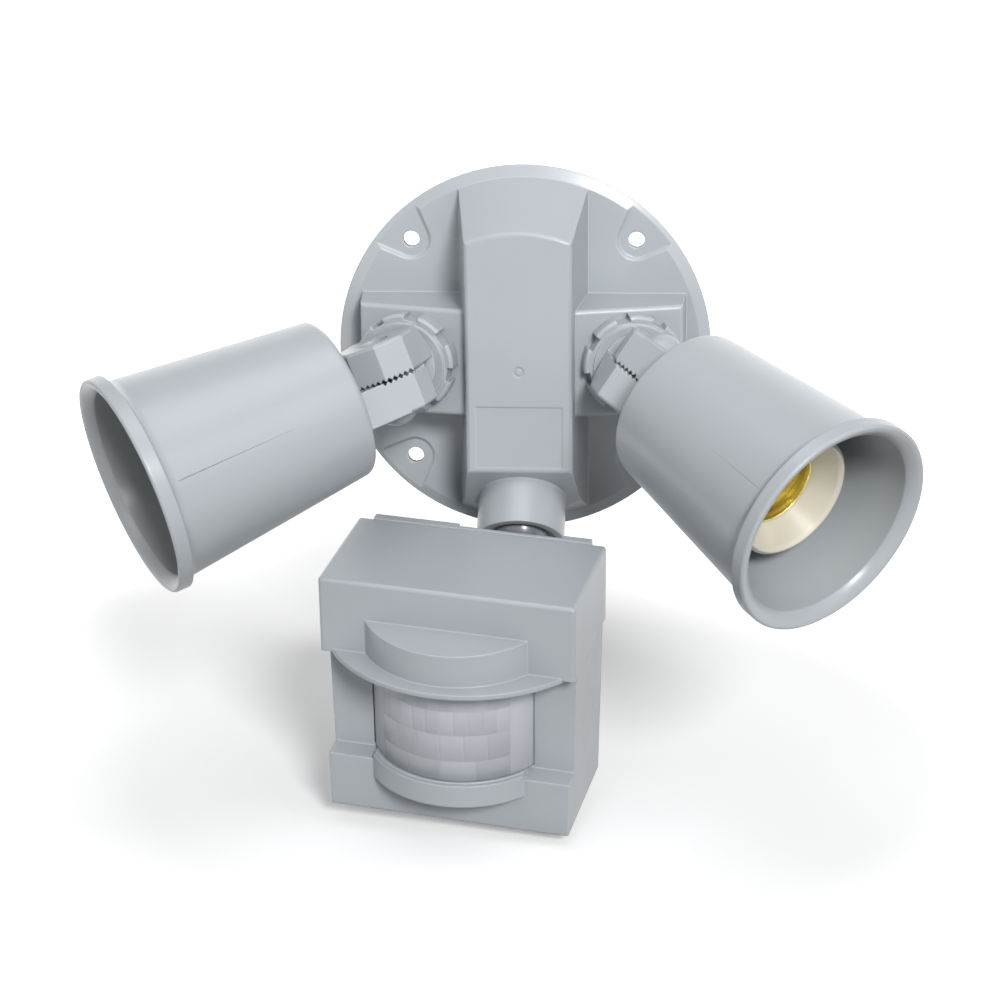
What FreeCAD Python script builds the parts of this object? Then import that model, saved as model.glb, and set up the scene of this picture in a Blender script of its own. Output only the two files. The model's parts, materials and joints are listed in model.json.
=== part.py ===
import FreeCAD, Part
import math
import os

# Outdoor lamp holder with two swivelling lampholders and a motion sensor.
# A round canopy covers a ceiling or wall box. Two threaded stems stand on its sloping pads,
# each with a serrated knuckle that carries a bell shaped lampholder with a porcelain socket.
# A sensor head hangs from a ball joint in the collar at the foot of the canopy.
#
# Millimetres. The wall is the plane y = 0, the object stands out towards -Y, +Z is up and
# the origin is the middle of the canopy on the wall.

# Canopy: its holes fit a standard round box, and its rim runs a margin outside them
SCREW_SPACING = 76.2
SCREW_MARGIN = 9.62
PLATE_RADIUS = SCREW_SPACING / math.sqrt(2) + SCREW_MARGIN
GASKET_THICK = 1.5
GASKET_INSET = 1.0
FLOOR_HEIGHT = 3.8
WALL = 2.4
RIM_BEVEL_WIDTH = 3.8
RIM_BEVEL_DROP = 1.7
SCREW_HOLE_RADIUS = 2.8
SCREW_SEAT_RADIUS = 5.8
SCREW_SEAT_DEPTH = 1.0
SCREW_SEAT_DRAFT = 1.1
SCREW_SEAT_SPREAD = 22.0

# Raised channel down the middle of the canopy
CHANNEL_HEIGHT = 31.3
CHANNEL_FRONT_WIDTH = 35.4
CHANNEL_FLOOR_WIDTH = 43.6
CHANNEL_FOOT = 28.1 - PLATE_RADIUS
CHANNEL_SHOULDER_RADIUS = PLATE_RADIUS - 17.5
CHANNEL_CROWN_RADIUS = PLATE_RADIUS - 3.9
FOOT_SLOPE = 45.0
CHANNEL_EDGE = 1.6
NAME_PANEL_TOP = -12.8
NAME_PANEL_DEPTH = 0.2
GATE_MARK_RADIUS = 1.8
GATE_MARK_LINE = 0.8
GATE_MARK_HEIGHT = -0.8

# Sloping pads for the two stems
PAD_CENTRE_X = PLATE_RADIUS - 26.3
PAD_CENTRE_Z = 0.7
PAD_HEIGHT = 21.6
PAD_TILT = 13.0
PAD_HALF_HEIGHT = 18.1
PAD_OUTER_X = PLATE_RADIUS - 9.5
PAD_DRAFT = 1.3
PAD_EDGE = 1.5
HUB_RADIUS = 14.5
HUB_DEPTH = 10.0

# Stem, locknut and knuckle
THREAD_RADIUS = 10.45
STEM_CLEARANCE = 0.06
STEM_TAIL = 3.0
NUT_RADIUS = 17.0
NUT_HEIGHT = 6.2
NUT_TABS = 8
NUT_NOTCH_WIDTH = 4.8
NUT_NOTCH_DEPTH = 1.9
NUT_COLLAR_RADIUS = 14.2
NUT_COLLAR_RISE = 1.0
NUT_CHAMFER = 0.8
STEM_BASE_STEP = 1.3
STEM_BASE_EDGE = 1.2
STEM_BASE_BEVEL = 2.5
STEM_END_BEVEL = 1.0
PIVOT_HEIGHT = 23.5
EAR_SIDES = 8
EAR_ACROSS = 25.0
EAR_THICK = 12.4
EAR_GAP = 0.12
EAR_SWING_GAP = 0.5
EAR_CHAMFER = 0.8
STEM_NECK_WIDTH = 23.4
STEM_FLARE_RADIUS = 19.0
STEM_FLARE_RISE = 8.0
TEETH = 40
TOOTH_DEPTH = 1.0
TOOTH_SHARE = 0.92
TEETH_INNER_RADIUS = 7.0
CLAMP_SCREW_RADIUS = 2.4
CLAMP_CLEARANCE = 0.06
CLAMP_HEAD_RADIUS = 4.6
CLAMP_HEAD_HEIGHT = 3.0
HEAD_RECESS_RADIUS = 5.4
HEAD_RECESS_DEPTH = 4.2
CLAMP_NUT_ACROSS = 8.0
CLAMP_NUT_HEIGHT = 3.6
CLAMP_NUT_COVER = 1.2
CLAMP_SLOT_WIDTH = 1.2
CLAMP_SLOT_DEPTH = 1.3
CLAMP_HEAD_ROUND = 1.0
DOME_RADIUS = 7.0
DOME_HEIGHT = 4.2
WIRE_BORE_RADIUS = 6.5
BELL_WIRE_RADIUS = 4.5

# Lampholder bell
BELL_START = 17.5
BELL_LENGTH = 75.5
BELL_REAR_RADIUS = 26.9
BELL_NECK_RADIUS = 33.5
BELL_LIP_RADIUS = 36.4
BELL_REAR_ROUND = 2.5
BELL_WALL = 2.5
LIP_THICK = 4.8
FLARE_LENGTH = 8.0
FLARE_BOW = 0.16
THROAT_DEPTH = 3.2
THROAT_RADIUS = 31.4
THROAT_BOW = 0.07
LIP_ROUND = 0.9
LIP_FACE_WIDTH = 1.2
LIP_FACE_FALL = 0.4
BELL_FLOOR = 3.0
SOCKET_POST_RADIUS = 15.0

# Porcelain socket
PORCELAIN_DEPTH = 18.0
PORCELAIN_RADIUS = 20.7
PORCELAIN_REAR_RADIUS = 18.4
PORCELAIN_LENGTH = 42.0
PORCELAIN_MOUTH_RADIUS = 18.0
PORCELAIN_CONE_DEPTH = 8.4
PORCELAIN_FLOOR = 7.0
PORCELAIN_BAND = 12.0
PORCELAIN_OUTER_EDGE = 1.2
PORCELAIN_INNER_EDGE = 1.0
SHELL_BORE_RADIUS = 13.2
SHELL_WALL = 0.4
SHELL_LENGTH = 26.2
SHELL_STEP_HEIGHT = 3.2
SHELL_STEP_IN = 0.9
SHELL_LIP_RADIUS = 11.6
SHELL_SEAT_GAP = 0.1
CONTACT_RADIUS = 3.6
CONTACT_HEIGHT = 3.0
CONTACT_FOOT = 0.6
CONTACT_BUTTON_RADIUS = 2.2
SOCKET_SCREW_OFFSET = 8.6
SOCKET_SCREW_RADIUS = 1.6
SOCKET_HEAD_RADIUS = 2.6
SOCKET_HEAD_HEIGHT = 1.8

# Aim of the two lampholders: turn of the stem about its own axis, bend of the knuckle and
# where the locknut's notches stopped
LEFT_TURN = 201.0
LEFT_BEND = 48.5
LEFT_NUT_TURN = 14.3
RIGHT_TURN = -34.2
RIGHT_BEND = 33.7
RIGHT_NUT_TURN = 3.4

# Collar and ball joint of the sensor
COLLAR_RADIUS = 14.9
COLLAR_LENGTH = 16.4
COLLAR_ROOT_HEIGHT = 18.4
COLLAR_BORE_RADIUS = 12.5
COLLAR_BORE_DEPTH = 14.0
COLLAR_WIRE_RADIUS = 6.0
COLLAR_WIRE_REACH = 8.0
SEAT_CLEARANCE = 0.06
SEAT_SETBACK = 0.8
SEAT_LENGTH = 11.6
BALL_RADIUS = 10.5
BALL_GAP = 0.3
BALL_SETBACK = 4.0
NECK_RADIUS = 4.8
NECK_BORE_RADIUS = 2.2
COVER_WIRE_RADIUS = 3.0
FOOT_RADIUS = 9.5
FOOT_THICK = 2.4

# Place and turn of the sensor head, seen from the ball
SENSOR_YAW = -10.8
SENSOR_PITCH = 9.2
SENSOR_ROLL = 2.7
BALL_OFFSIDE = 9.6
BALL_BEHIND = 15.9
BALL_BELOW = 6.2
FOOT_BELOW = 16.0

# Sensor head: x is across, y runs from the front to the back cover, z is up from the hood
HOOD_WIDTH = 85.8
HOOD_DEPTH = 43.7
HOOD_HEIGHT = 27.0
HOOD_WALL = 2.0
HOOD_EDGE = 1.2
BODY_TOP_WIDTH = 85.2
BODY_FOOT_WIDTH = 82.0
BODY_FRONT_SETBACK = 7.2
BODY_HEIGHT = 86.2
BODY_WALL = 2.2
REBATE_GAP = 0.2
LEDGE_TOP = 65.8
LEDGE_FOOT = 66.4
LENS_CENTRE = 22.8
LENS_RADIUS = 30.5
LENS_THICK = 1.0
LENS_TOP = 27.8
LENS_FOOT = 64.8
WINDOW_GAP = 0.3
DRUM_CENTRE = 25.5
DRUM_RADIUS = 32.8
DRUM_WALL = 1.8
DRUM_TOP = 13.4
DRUM_ROOF = 3.0
DRUM_ROOT = 5.0
DRUM_SLOPE = 5.0
BRIM_RADIUS = 48.0
BRIM_REACH = 63.0
BRIM_TOP = 26.0
LIP_BAR_RADIUS = 33.4
LIP_BAR_FOOT = 73.0
LIP_BAR_HALF = 25.8
LIP_BAR_ROOT = 6.0
COVER_WIDTH = 75.0
COVER_FOOT_WIDTH = 79.0
COVER_THICK = 4.0
COVER_RISE = 0.5
COVER_EDGE = 0.8
COVER_RELIEF_WIDTH = 36.0
COVER_RELIEF_DROP = 5.0
COVER_RELIEF_LEAVES = 1.5

# Inside the sensor head
BOARD_WIDTH = 66.0
BOARD_TOP = 14.0
BOARD_FOOT_GAP = 8.4
BOARD_HEIGHT = BODY_HEIGHT - BODY_WALL - BOARD_FOOT_GAP - BOARD_TOP
BOARD_THICK = 1.6
BOARD_STANDOFF = 10.0
BOSS_RADIUS = 3.2
BOARD_HOLE_INSET = 5.0
BOARD_SCREW_RADIUS = 1.4
BOARD_SCREW_HEAD = 2.6
BOARD_SCREW_HEAD_HEIGHT = 1.6
BOARD_SCREW_BITE = 6.0
PIR_HEIGHT = (LENS_TOP + LENS_FOOT) / 2
PIR_CAN_RADIUS = 4.6
PIR_CAN_LENGTH = 4.4
PIR_CAN_BRIM = 0.7
PIR_CAN_BRIM_THICK = 0.6
PIR_HOLDER = 12.0
PIR_HOLDER_WIDTH = 13.0
RELAY_SIZE = (19.0, 15.5, 15.0)
RELAY_FROM_HOLDER = 3.5
RELAY_FROM_FOOT = 12.0
CAPACITOR_RADIUS = 6.3
CAPACITOR_LENGTH = 14.0
CAPACITOR_FROM_HOLDER = 4.2
CAPACITOR_FROM_FOOT = 18.0
PHOTOCELL_RADIUS = 2.6
PHOTOCELL_LENGTH = 8.0
PHOTOCELL_X = 14.0
PHOTOCELL_FROM_FOOT = 31.0
COVER_SCREW_RADIUS = 1.6
COVER_SCREW_HEAD_RADIUS = 3.2
COVER_SCREW_HEAD = 2.0
COVER_SCREW_LENGTH = 12.0
COVER_SCREW_BOSS = 4.0
COVER_SCREW_INSET = 6.2
COVER_SCREW_TOP_DROP = 2.0
COVER_SCREW_END_GAP = 2.0
COVER_SCREW_SINK = 0.2

# Controls under the sensor head
KNOB_X = 17.0
KNOB_RADIUS = 5.5
KNOB_HEIGHT = 3.0
KNOB_SHAFT_RADIUS = 3.0
KNOB_CLEARANCE = 0.06
KNOB_SKIRT_GAP = 0.3
KNOB_SLOT_WIDTH = 1.2
KNOB_SLOT_DEPTH = 1.0
KNOB_SLOT_LENGTH = 8.8
KNOB_BEVEL = 0.6
SWITCH_X = -17.0
SWITCH_TRAVEL = 6.0
SWITCH_LENGTH = 4.0
SWITCH_WIDTH = 3.4
SWITCH_PROUD = 2.2
SWITCH_GAP = 0.3
SWITCH_FOOT = 1.6
SWITCH_FOOT_STEP = 1.5
CONTROL_DEPTH = 20.0

SHARED_OVERLAP = 0.5
FAR = 200.0

V = FreeCAD.Vector
X_AXIS = V(1, 0, 0)
Y_AXIS = V(0, 1, 0)
Z_AXIS = V(0, 0, 1)


# Small helpers

def polygon_face(points):
    """A flat face bounded by straight edges through the given points."""
    return Part.Face(Part.makePolygon(list(points) + [points[0]]))


def block(low, high):
    """A box between two corners."""
    size = V(*high) - V(*low)
    return Part.makeBox(size.x, size.y, size.z, V(*low))


def rod(radius, length, start=V(0, 0, 0), direction=Z_AXIS):
    """A round bar that begins at start and runs along direction."""
    return Part.makeCylinder(radius, length, start, direction)


def turned(points):
    """A solid of revolution about Z from (radius, height) points joined by straight lines."""
    corners = [V(radius, 0, height) for radius, height in points]
    return polygon_face(corners).revolve(V(0, 0, 0), Z_AXIS, 360)


def along_y(points, low, high):
    """A prism along Y from an outline of (x, z) points."""
    outline = polygon_face([V(x, low, z) for x, z in points])
    return outline.extrude(V(0, high - low, 0))


def along_x(points, low, high):
    """A prism along X from an outline of (y, z) points."""
    outline = polygon_face([V(low, y, z) for y, z in points])
    return outline.extrude(V(high - low, 0, 0))


def rounded(shape, radius, wanted):
    """Round the edges that the test picks."""
    edges = [edge for edge in shape.Edges if wanted(edge)]
    return shape.makeFillet(radius, edges)


def bevelled(shape, size, wanted):
    """Bevel the edges that the test picks."""
    edges = [edge for edge in shape.Edges if wanted(edge)]
    return shape.makeChamfer(size, edges)


def placement(origin, x_direction, z_direction):
    """A frame whose local X and Z axes point the given ways."""
    y_direction = z_direction.cross(x_direction)
    turn = FreeCAD.Rotation(x_direction, y_direction, z_direction, "ZXY")
    return FreeCAD.Placement(origin, turn)


def placed(shape, frame):
    """A copy of the shape moved from a local frame to the object's frame."""
    moved = shape.copy()
    moved.Placement = frame.multiply(moved.Placement)
    return moved


def save(name, shape):
    """Write one node, as a clean solid or a group of separate solids."""
    clean = shape.removeSplitter()
    solids = clean.Solids
    result = solids[0] if len(solids) == 1 else Part.makeCompound(solids)
    result.exportStep(os.path.join("parts", name + ".step"))


# Canopy. It is drawn lying on its back: x across, y up the wall and z out from the wall.

CANOPY_FRAME = placement(V(0, 0, 0), X_AXIS, V(0, -1, 0))
SLOPE = math.radians(FOOT_SLOPE)
COLLAR_AXIS = V(0, -math.sin(SLOPE), math.cos(SLOPE))
TILT = math.radians(PAD_TILT)


def channel_form(inset, low):
    """The raised channel, or its hollow when it is drawn in by the wall."""
    top = CHANNEL_HEIGHT - inset
    side_lean = (CHANNEL_FLOOR_WIDTH - CHANNEL_FRONT_WIDTH) / 2 / (CHANNEL_HEIGHT - FLOOR_HEIGHT)
    half_front = CHANNEL_FRONT_WIDTH / 2 - inset + inset * side_lean
    half_low = half_front + (top - low) * side_lean
    section = [(-half_low, low), (half_low, low), (half_front, top), (-half_front, top)]
    bar = along_y(section, -PLATE_RADIUS, PLATE_RADIUS)
    foot = CHANNEL_FOOT + inset * (1 / math.sin(SLOPE) - 1)
    run = (top - low) / math.tan(SLOPE)
    side = [(foot - run, low), (PLATE_RADIUS, low), (PLATE_RADIUS, top), (foot, top)]
    bar = bar.common(along_x(side, -PLATE_RADIUS, PLATE_RADIUS))
    cone_lean = (CHANNEL_CROWN_RADIUS - CHANNEL_SHOULDER_RADIUS) / (CHANNEL_HEIGHT - FLOOR_HEIGHT)
    shoulder = CHANNEL_SHOULDER_RADIUS - inset + inset * cone_lean
    crown = shoulder + (top - low) * cone_lean
    cone = Part.makeCone(crown, shoulder, top - low, V(0, 0, low))
    form = bar.common(cone)
    if inset > 0:
        return form
    return rounded(form, CHANNEL_EDGE,
                   lambda edge: all(abs(vertex.Z - top) < 0.01 for vertex in edge.Vertexes))


def pad_plane_height(x, inset):
    """Height of the sloping pad face above the wall at a distance from the middle."""
    return PAD_HEIGHT - inset / math.cos(TILT) - (x - PAD_CENTRE_X) * math.tan(TILT)


def pad_form(side, inset, low):
    """One sloping pad, or its hollow."""
    outer = PAD_OUTER_X - inset
    inner = CHANNEL_FRONT_WIDTH / 4
    top_outer = pad_plane_height(outer, inset)
    top_inner = pad_plane_height(inner, inset)
    draft_out = PAD_DRAFT * (top_outer - low) / top_outer
    profile = [(inner, low), (outer + draft_out, low), (outer, top_outer), (inner, top_inner)]
    profile = [(side * x, z) for x, z in profile]
    half = PAD_HALF_HEIGHT - inset
    slab = along_y(profile, PAD_CENTRE_Z - 2 * half, PAD_CENTRE_Z + 2 * half)
    middle = PAD_CENTRE_Z
    wide = half + PAD_DRAFT
    section = [(middle - wide, low), (middle + wide, low),
               (middle + half, top_inner), (middle - half, top_inner)]
    form = slab.common(along_x(section, -PLATE_RADIUS, PLATE_RADIUS))
    if inset > 0:
        return form

    def on_face(edge):
        heights = [pad_plane_height(abs(vertex.X), 0) for vertex in edge.Vertexes]
        near = [abs(vertex.Z - z) < 0.01 for vertex, z in zip(edge.Vertexes, heights)]
        return all(near) and min(abs(vertex.X) for vertex in edge.Vertexes) > inner + 0.01 or (
            all(near) and abs(edge.Vertexes[0].X - edge.Vertexes[-1].X) > 1)

    return rounded(form, PAD_EDGE, on_face)


def pad_outward(side):
    """The way a pad faces, in the object's frame."""
    return V(side * math.sin(TILT), -math.cos(TILT), 0)


def stem_frame(side):
    """Frame of a stem: origin on the pad face, z out along the stem, x level."""
    origin = V(side * PAD_CENTRE_X, -PAD_HEIGHT, PAD_CENTRE_Z)
    outward = pad_outward(side)
    return placement(origin, outward.cross(Z_AXIS), outward)


def screw_seat_outline(sign_x, sign_y, radius, height):
    """Outline of a screw seat: round behind the hole and opening out to the rim."""
    centre = V(sign_x * SCREW_SPACING / 2, sign_y * SCREW_SPACING / 2, height)
    outward = math.atan2(sign_y, sign_x)
    spread = math.radians(SCREW_SEAT_SPREAD)
    ends = []
    for turn in (1, -1):
        edge = outward + turn * spread
        square = edge + turn * math.pi / 2
        near = centre + V(math.cos(square), math.sin(square), 0) * radius
        far = near + V(math.cos(edge), math.sin(edge), 0) * PLATE_RADIUS
        ends.append((near, far))
    (near_left, far_left), (near_right, far_right) = ends
    behind = centre - V(math.cos(outward), math.sin(outward), 0) * radius
    edges = [Part.LineSegment(far_left, near_left), Part.Arc(near_left, behind, near_right),
             Part.LineSegment(near_right, far_right), Part.LineSegment(far_right, far_left)]
    return Part.Wire([edge.toShape() for edge in edges])


def screw_seat(sign_x, sign_y):
    """The sunk seat round a mounting hole, with sloping sides."""
    foot = FLOOR_HEIGHT - SCREW_SEAT_DEPTH
    low = screw_seat_outline(sign_x, sign_y, SCREW_SEAT_RADIUS, foot)
    high = screw_seat_outline(sign_x, sign_y, SCREW_SEAT_RADIUS + 2 * SCREW_SEAT_DRAFT,
                              foot + 2 * SCREW_SEAT_DEPTH)
    return Part.makeLoft([low, high], True, True)


def screw_places():
    """Signs of the four mounting holes."""
    return [(sign_x, sign_y) for sign_x in (-1, 1) for sign_y in (-1, 1)]


def collar_base():
    """Point where the collar's axis meets the sloping foot of the channel."""
    across = (CHANNEL_HEIGHT - COLLAR_ROOT_HEIGHT) / math.tan(SLOPE)
    return V(0, CHANNEL_FOOT - across, COLLAR_ROOT_HEIGHT)


def collar_mouth():
    """Middle of the collar's open end."""
    return collar_base() + COLLAR_AXIS * COLLAR_LENGTH


def make_canopy():
    """The one piece canopy with its hollow back."""
    back = GASKET_THICK
    solid = turned([(0, back), (PLATE_RADIUS, back), (PLATE_RADIUS, FLOOR_HEIGHT - RIM_BEVEL_DROP),
                    (PLATE_RADIUS - RIM_BEVEL_WIDTH, FLOOR_HEIGHT), (0, FLOOR_HEIGHT)])
    for sign_x, sign_y in screw_places():
        solid = solid.cut(screw_seat(sign_x, sign_y))
    inside_disc = rod(PLATE_RADIUS, CHANNEL_HEIGHT, V(0, 0, back))
    forms = [channel_form(0, back)] + [pad_form(side, 0, back) for side in (-1, 1)]
    for form in forms:
        solid = solid.fuse(form.common(inside_disc))
    collar_root = collar_base() - COLLAR_AXIS * WALL * 2
    collar = rod(COLLAR_RADIUS, COLLAR_LENGTH + WALL * 2, collar_root, COLLAR_AXIS)
    solid = solid.fuse(collar.cut(rod(FAR, FAR, V(0, 0, back - FAR))))
    hollow = channel_form(WALL, -1)
    for side in (-1, 1):
        hollow = hollow.fuse(pad_form(side, WALL, -1))
    socket_depth = COLLAR_BORE_DEPTH + WALL
    pocket_start = collar_mouth() - COLLAR_AXIS * socket_depth
    pocket = rod(COLLAR_RADIUS, socket_depth, pocket_start, COLLAR_AXIS)
    solid = solid.cut(hollow.cut(pocket))
    for side in (-1, 1):
        frame = CANOPY_FRAME.inverse().multiply(stem_frame(side))
        hub = placed(rod(HUB_RADIUS, HUB_DEPTH, V(0, 0, -HUB_DEPTH)), frame)
        solid = solid.fuse(hub.cut(rod(FAR, FAR, V(0, 0, back - FAR))))
        bore = rod(THREAD_RADIUS + STEM_CLEARANCE, 3 * HUB_DEPTH, V(0, 0, -2 * HUB_DEPTH))
        solid = solid.cut(placed(bore, frame))
    bore_start = collar_mouth() - COLLAR_AXIS * COLLAR_BORE_DEPTH
    solid = solid.cut(rod(COLLAR_BORE_RADIUS, FAR, bore_start, COLLAR_AXIS))
    wire_start = bore_start - COLLAR_AXIS * (WALL + COLLAR_WIRE_REACH)
    wire_length = COLLAR_WIRE_REACH + 2 * WALL
    solid = solid.cut(rod(COLLAR_WIRE_RADIUS, wire_length, wire_start, COLLAR_AXIS))
    for sign_x, sign_y in screw_places():
        centre = V(sign_x * SCREW_SPACING / 2, sign_y * SCREW_SPACING / 2, -1)
        solid = solid.cut(rod(SCREW_HOLE_RADIUS, CHANNEL_HEIGHT, centre))
    half_panel = CHANNEL_FRONT_WIDTH / 2 - 2 * CHANNEL_EDGE
    panel_low = CHANNEL_HEIGHT - NAME_PANEL_DEPTH
    panel = block((-half_panel, CHANNEL_FOOT + CHANNEL_EDGE, panel_low),
                  (half_panel, NAME_PANEL_TOP, CHANNEL_HEIGHT + 1))
    solid = solid.cut(panel)
    mark_place = V(0, GATE_MARK_HEIGHT, panel_low)
    mark = rod(GATE_MARK_RADIUS, NAME_PANEL_DEPTH + 1, mark_place)
    mark = mark.cut(rod(GATE_MARK_RADIUS - GATE_MARK_LINE, NAME_PANEL_DEPTH + 1, mark_place))
    solid = solid.cut(mark)
    return placed(solid, CANOPY_FRAME)


def make_gasket():
    """Flat foam ring between the canopy and the box."""
    ring = rod(PLATE_RADIUS - GASKET_INSET, GASKET_THICK)
    opening = channel_form(WALL, -1)
    for side in (-1, 1):
        opening = opening.fuse(pad_form(side, WALL, -1))
    ring = ring.cut(opening)
    for sign_x, sign_y in screw_places():
        centre = V(sign_x * SCREW_SPACING / 2, sign_y * SCREW_SPACING / 2, -1)
        ring = ring.cut(rod(SCREW_HOLE_RADIUS, GASKET_THICK + 2, centre))
    return placed(ring, CANOPY_FRAME)


# Stem and locknut. z runs out along the stem from the pad face, and the clamp axis of the
# knuckle is local x, with the stem's ear on its negative side.

OCTAGON_RADIUS = EAR_ACROSS / 2 / math.cos(math.pi / EAR_SIDES)
BASE_TOP = PIVOT_HEIGHT - OCTAGON_RADIUS - EAR_SWING_GAP


def polygon_prism(sides, across, x_low, x_high, first):
    """A prism with an even number of flats about the clamp axis."""
    radius = across / 2 / math.cos(math.pi / sides)
    corners = []
    for step in range(sides):
        angle = math.radians(first + 360.0 / sides * step)
        corners.append((radius * math.cos(angle), radius * math.sin(angle)))
    return along_x(corners, x_low, x_high)


def groove_end(side, radius, half_width, depth):
    """Closed V of one groove's end, a hair proud of the ear's face."""
    start = side * EAR_GAP / 2
    proud = start - side * 0.01
    return Part.makePolygon([V(proud, radius, -half_width), V(start + side * depth, radius, 0),
                             V(proud, radius, half_width), V(proud, radius, -half_width)])


def serration(side):
    """Radial V grooves for the ear on one side of the clamp plane."""
    reach = OCTAGON_RADIUS + 0.2
    half = math.pi * reach / TEETH * TOOTH_SHARE
    depth = TOOTH_DEPTH * reach / (EAR_ACROSS / 2)
    inner = TEETH_INNER_RADIUS / reach
    tip = groove_end(side, reach * inner, half * inner, depth * inner)
    base = groove_end(side, reach, half, depth)
    groove = Part.makeLoft([tip, base], True, True)
    phase = 0.5 if side > 0 else 0.0
    grooves = []
    for step in range(TEETH):
        one = groove.copy()
        one.rotate(V(0, 0, 0), X_AXIS, (step + phase) * 360.0 / TEETH)
        grooves.append(one)
    return grooves


def ear(side, neck_drop, neck_width):
    """One ear about the origin, with a neck that drops towards its carrier."""
    near = side * EAR_GAP / 2
    far = side * EAR_THICK
    low, high = min(near, far), max(near, far)
    solid = polygon_prism(EAR_SIDES, EAR_ACROSS, low, high, 180.0 / EAR_SIDES)
    solid = bevelled(solid, EAR_CHAMFER,
                     lambda edge: all(abs(vertex.X - far) < 0.01 for vertex in edge.Vertexes))
    neck = block((low, -neck_width / 2, min(0, neck_drop)), (high, neck_width / 2, max(0, neck_drop)))
    solid = solid.fuse(neck)
    for groove in serration(side):
        solid = solid.cut(groove)
    return solid


def make_stem():
    """Threaded stem, its round base and its serrated ear."""
    tail = -(HUB_DEPTH + STEM_TAIL)
    base_radius = THREAD_RADIUS + STEM_BASE_STEP
    base_foot = NUT_HEIGHT + NUT_COLLAR_RISE
    profile = [(0, tail), (THREAD_RADIUS - STEM_END_BEVEL, tail),
               (THREAD_RADIUS, tail + STEM_END_BEVEL), (THREAD_RADIUS, base_foot),
               (base_radius, base_foot), (base_radius, BASE_TOP - STEM_BASE_EDGE),
               (base_radius - STEM_BASE_BEVEL, BASE_TOP), (0, BASE_TOP)]
    solid = turned(profile)
    drop = BASE_TOP - PIVOT_HEIGHT - 1
    one_ear = ear(-1, drop, STEM_NECK_WIDTH)
    pivot = V(0, 0, PIVOT_HEIGHT)
    one_ear.translate(pivot)
    flare_foot = BASE_TOP - STEM_BASE_EDGE
    flare_top = flare_foot + STEM_FLARE_RISE
    flare = turned([(0, base_foot), (base_radius, base_foot), (base_radius, flare_foot),
                    (STEM_FLARE_RADIUS, flare_top), (STEM_FLARE_RADIUS, FAR), (0, FAR)])
    solid = solid.fuse(one_ear.common(flare))
    solid = solid.cut(rod(CLAMP_SCREW_RADIUS + CLAMP_CLEARANCE, FAR, pivot, V(-1, 0, 0)))
    recess_start = pivot - X_AXIS * (EAR_THICK - HEAD_RECESS_DEPTH)
    solid = solid.cut(rod(HEAD_RECESS_RADIUS, FAR, recess_start, V(-1, 0, 0)))
    wire_way = rod(WIRE_BORE_RADIUS, BASE_TOP - STEM_BASE_BEVEL - tail, V(0, 0, tail))
    return solid.cut(wire_way)


def make_locknut():
    """Round locknut with tabs for a wrench."""
    ring = rod(NUT_RADIUS, NUT_HEIGHT)
    ring = bevelled(ring, NUT_CHAMFER, lambda edge: abs(edge.Vertexes[0].Z - NUT_HEIGHT) < 0.01)
    ring = ring.fuse(rod(NUT_COLLAR_RADIUS, NUT_HEIGHT + NUT_COLLAR_RISE))
    for step in range(NUT_TABS):
        half = NUT_NOTCH_WIDTH / 2
        notch = block((NUT_RADIUS - NUT_NOTCH_DEPTH, -half, -1),
                      (NUT_RADIUS + 1, half, NUT_HEIGHT + 1))
        notch.rotate(V(0, 0, 0), Z_AXIS, step * 360.0 / NUT_TABS)
        ring = ring.cut(notch)
    return ring.cut(rod(THREAD_RADIUS, FAR, V(0, 0, -1)))


# Lampholder. The origin is the knuckle's pivot, z runs out along the lamp and x is the
# clamp axis, with this ear on its positive side.

MOUTH = BELL_START + BELL_LENGTH
NUT_POCKET_START = EAR_THICK - CLAMP_NUT_COVER - CLAMP_NUT_HEIGHT


def bowed(start, end, bow):
    """An arc between two points of the X Z plane, with its sag as a share of the chord."""
    chord = end - start
    across = V(-chord.z, 0, chord.x)
    return Part.Arc(start, (start + end) * 0.5 + across * bow, end)


def bell_outline():
    """Section of the bell, half of it, with the flare, the lip and the throat as arcs."""
    def at(radius, height):
        return V(radius, 0, height)

    corner = 1 - math.sqrt(0.5)
    axis_back = at(0, BELL_START)
    rear_flat = at(BELL_REAR_RADIUS - BELL_REAR_ROUND, BELL_START)
    rear_mid = at(BELL_REAR_RADIUS - BELL_REAR_ROUND * corner, BELL_START + BELL_REAR_ROUND * corner)
    rear = at(BELL_REAR_RADIUS, BELL_START + BELL_REAR_ROUND)
    flare = at(BELL_NECK_RADIUS, MOUTH - FLARE_LENGTH)
    lip_back = at(BELL_LIP_RADIUS, MOUTH - LIP_THICK)
    lip_front = at(BELL_LIP_RADIUS, MOUTH - LIP_ROUND)
    lip_mid = at(BELL_LIP_RADIUS - LIP_ROUND * corner, MOUTH - LIP_ROUND * corner)
    lip_face = at(BELL_LIP_RADIUS - LIP_ROUND, MOUTH)
    mouth = at(BELL_LIP_RADIUS - LIP_ROUND - LIP_FACE_WIDTH, MOUTH - LIP_FACE_FALL)
    throat = at(THROAT_RADIUS, MOUTH - THROAT_DEPTH)
    inner_rear = at(BELL_REAR_RADIUS - BELL_WALL, BELL_START + BELL_FLOOR)
    axis_rear = at(0, BELL_START + BELL_FLOOR)
    edges = [Part.LineSegment(axis_back, rear_flat), Part.Arc(rear_flat, rear_mid, rear),
             Part.LineSegment(rear, flare), bowed(flare, lip_back, FLARE_BOW),
             Part.LineSegment(lip_back, lip_front), Part.Arc(lip_front, lip_mid, lip_face),
             Part.LineSegment(lip_face, mouth), bowed(mouth, throat, -THROAT_BOW),
             Part.LineSegment(throat, inner_rear), Part.LineSegment(inner_rear, axis_rear),
             Part.LineSegment(axis_rear, axis_back)]
    return Part.Face(Part.Wire([edge.toShape() for edge in edges]))


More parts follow.
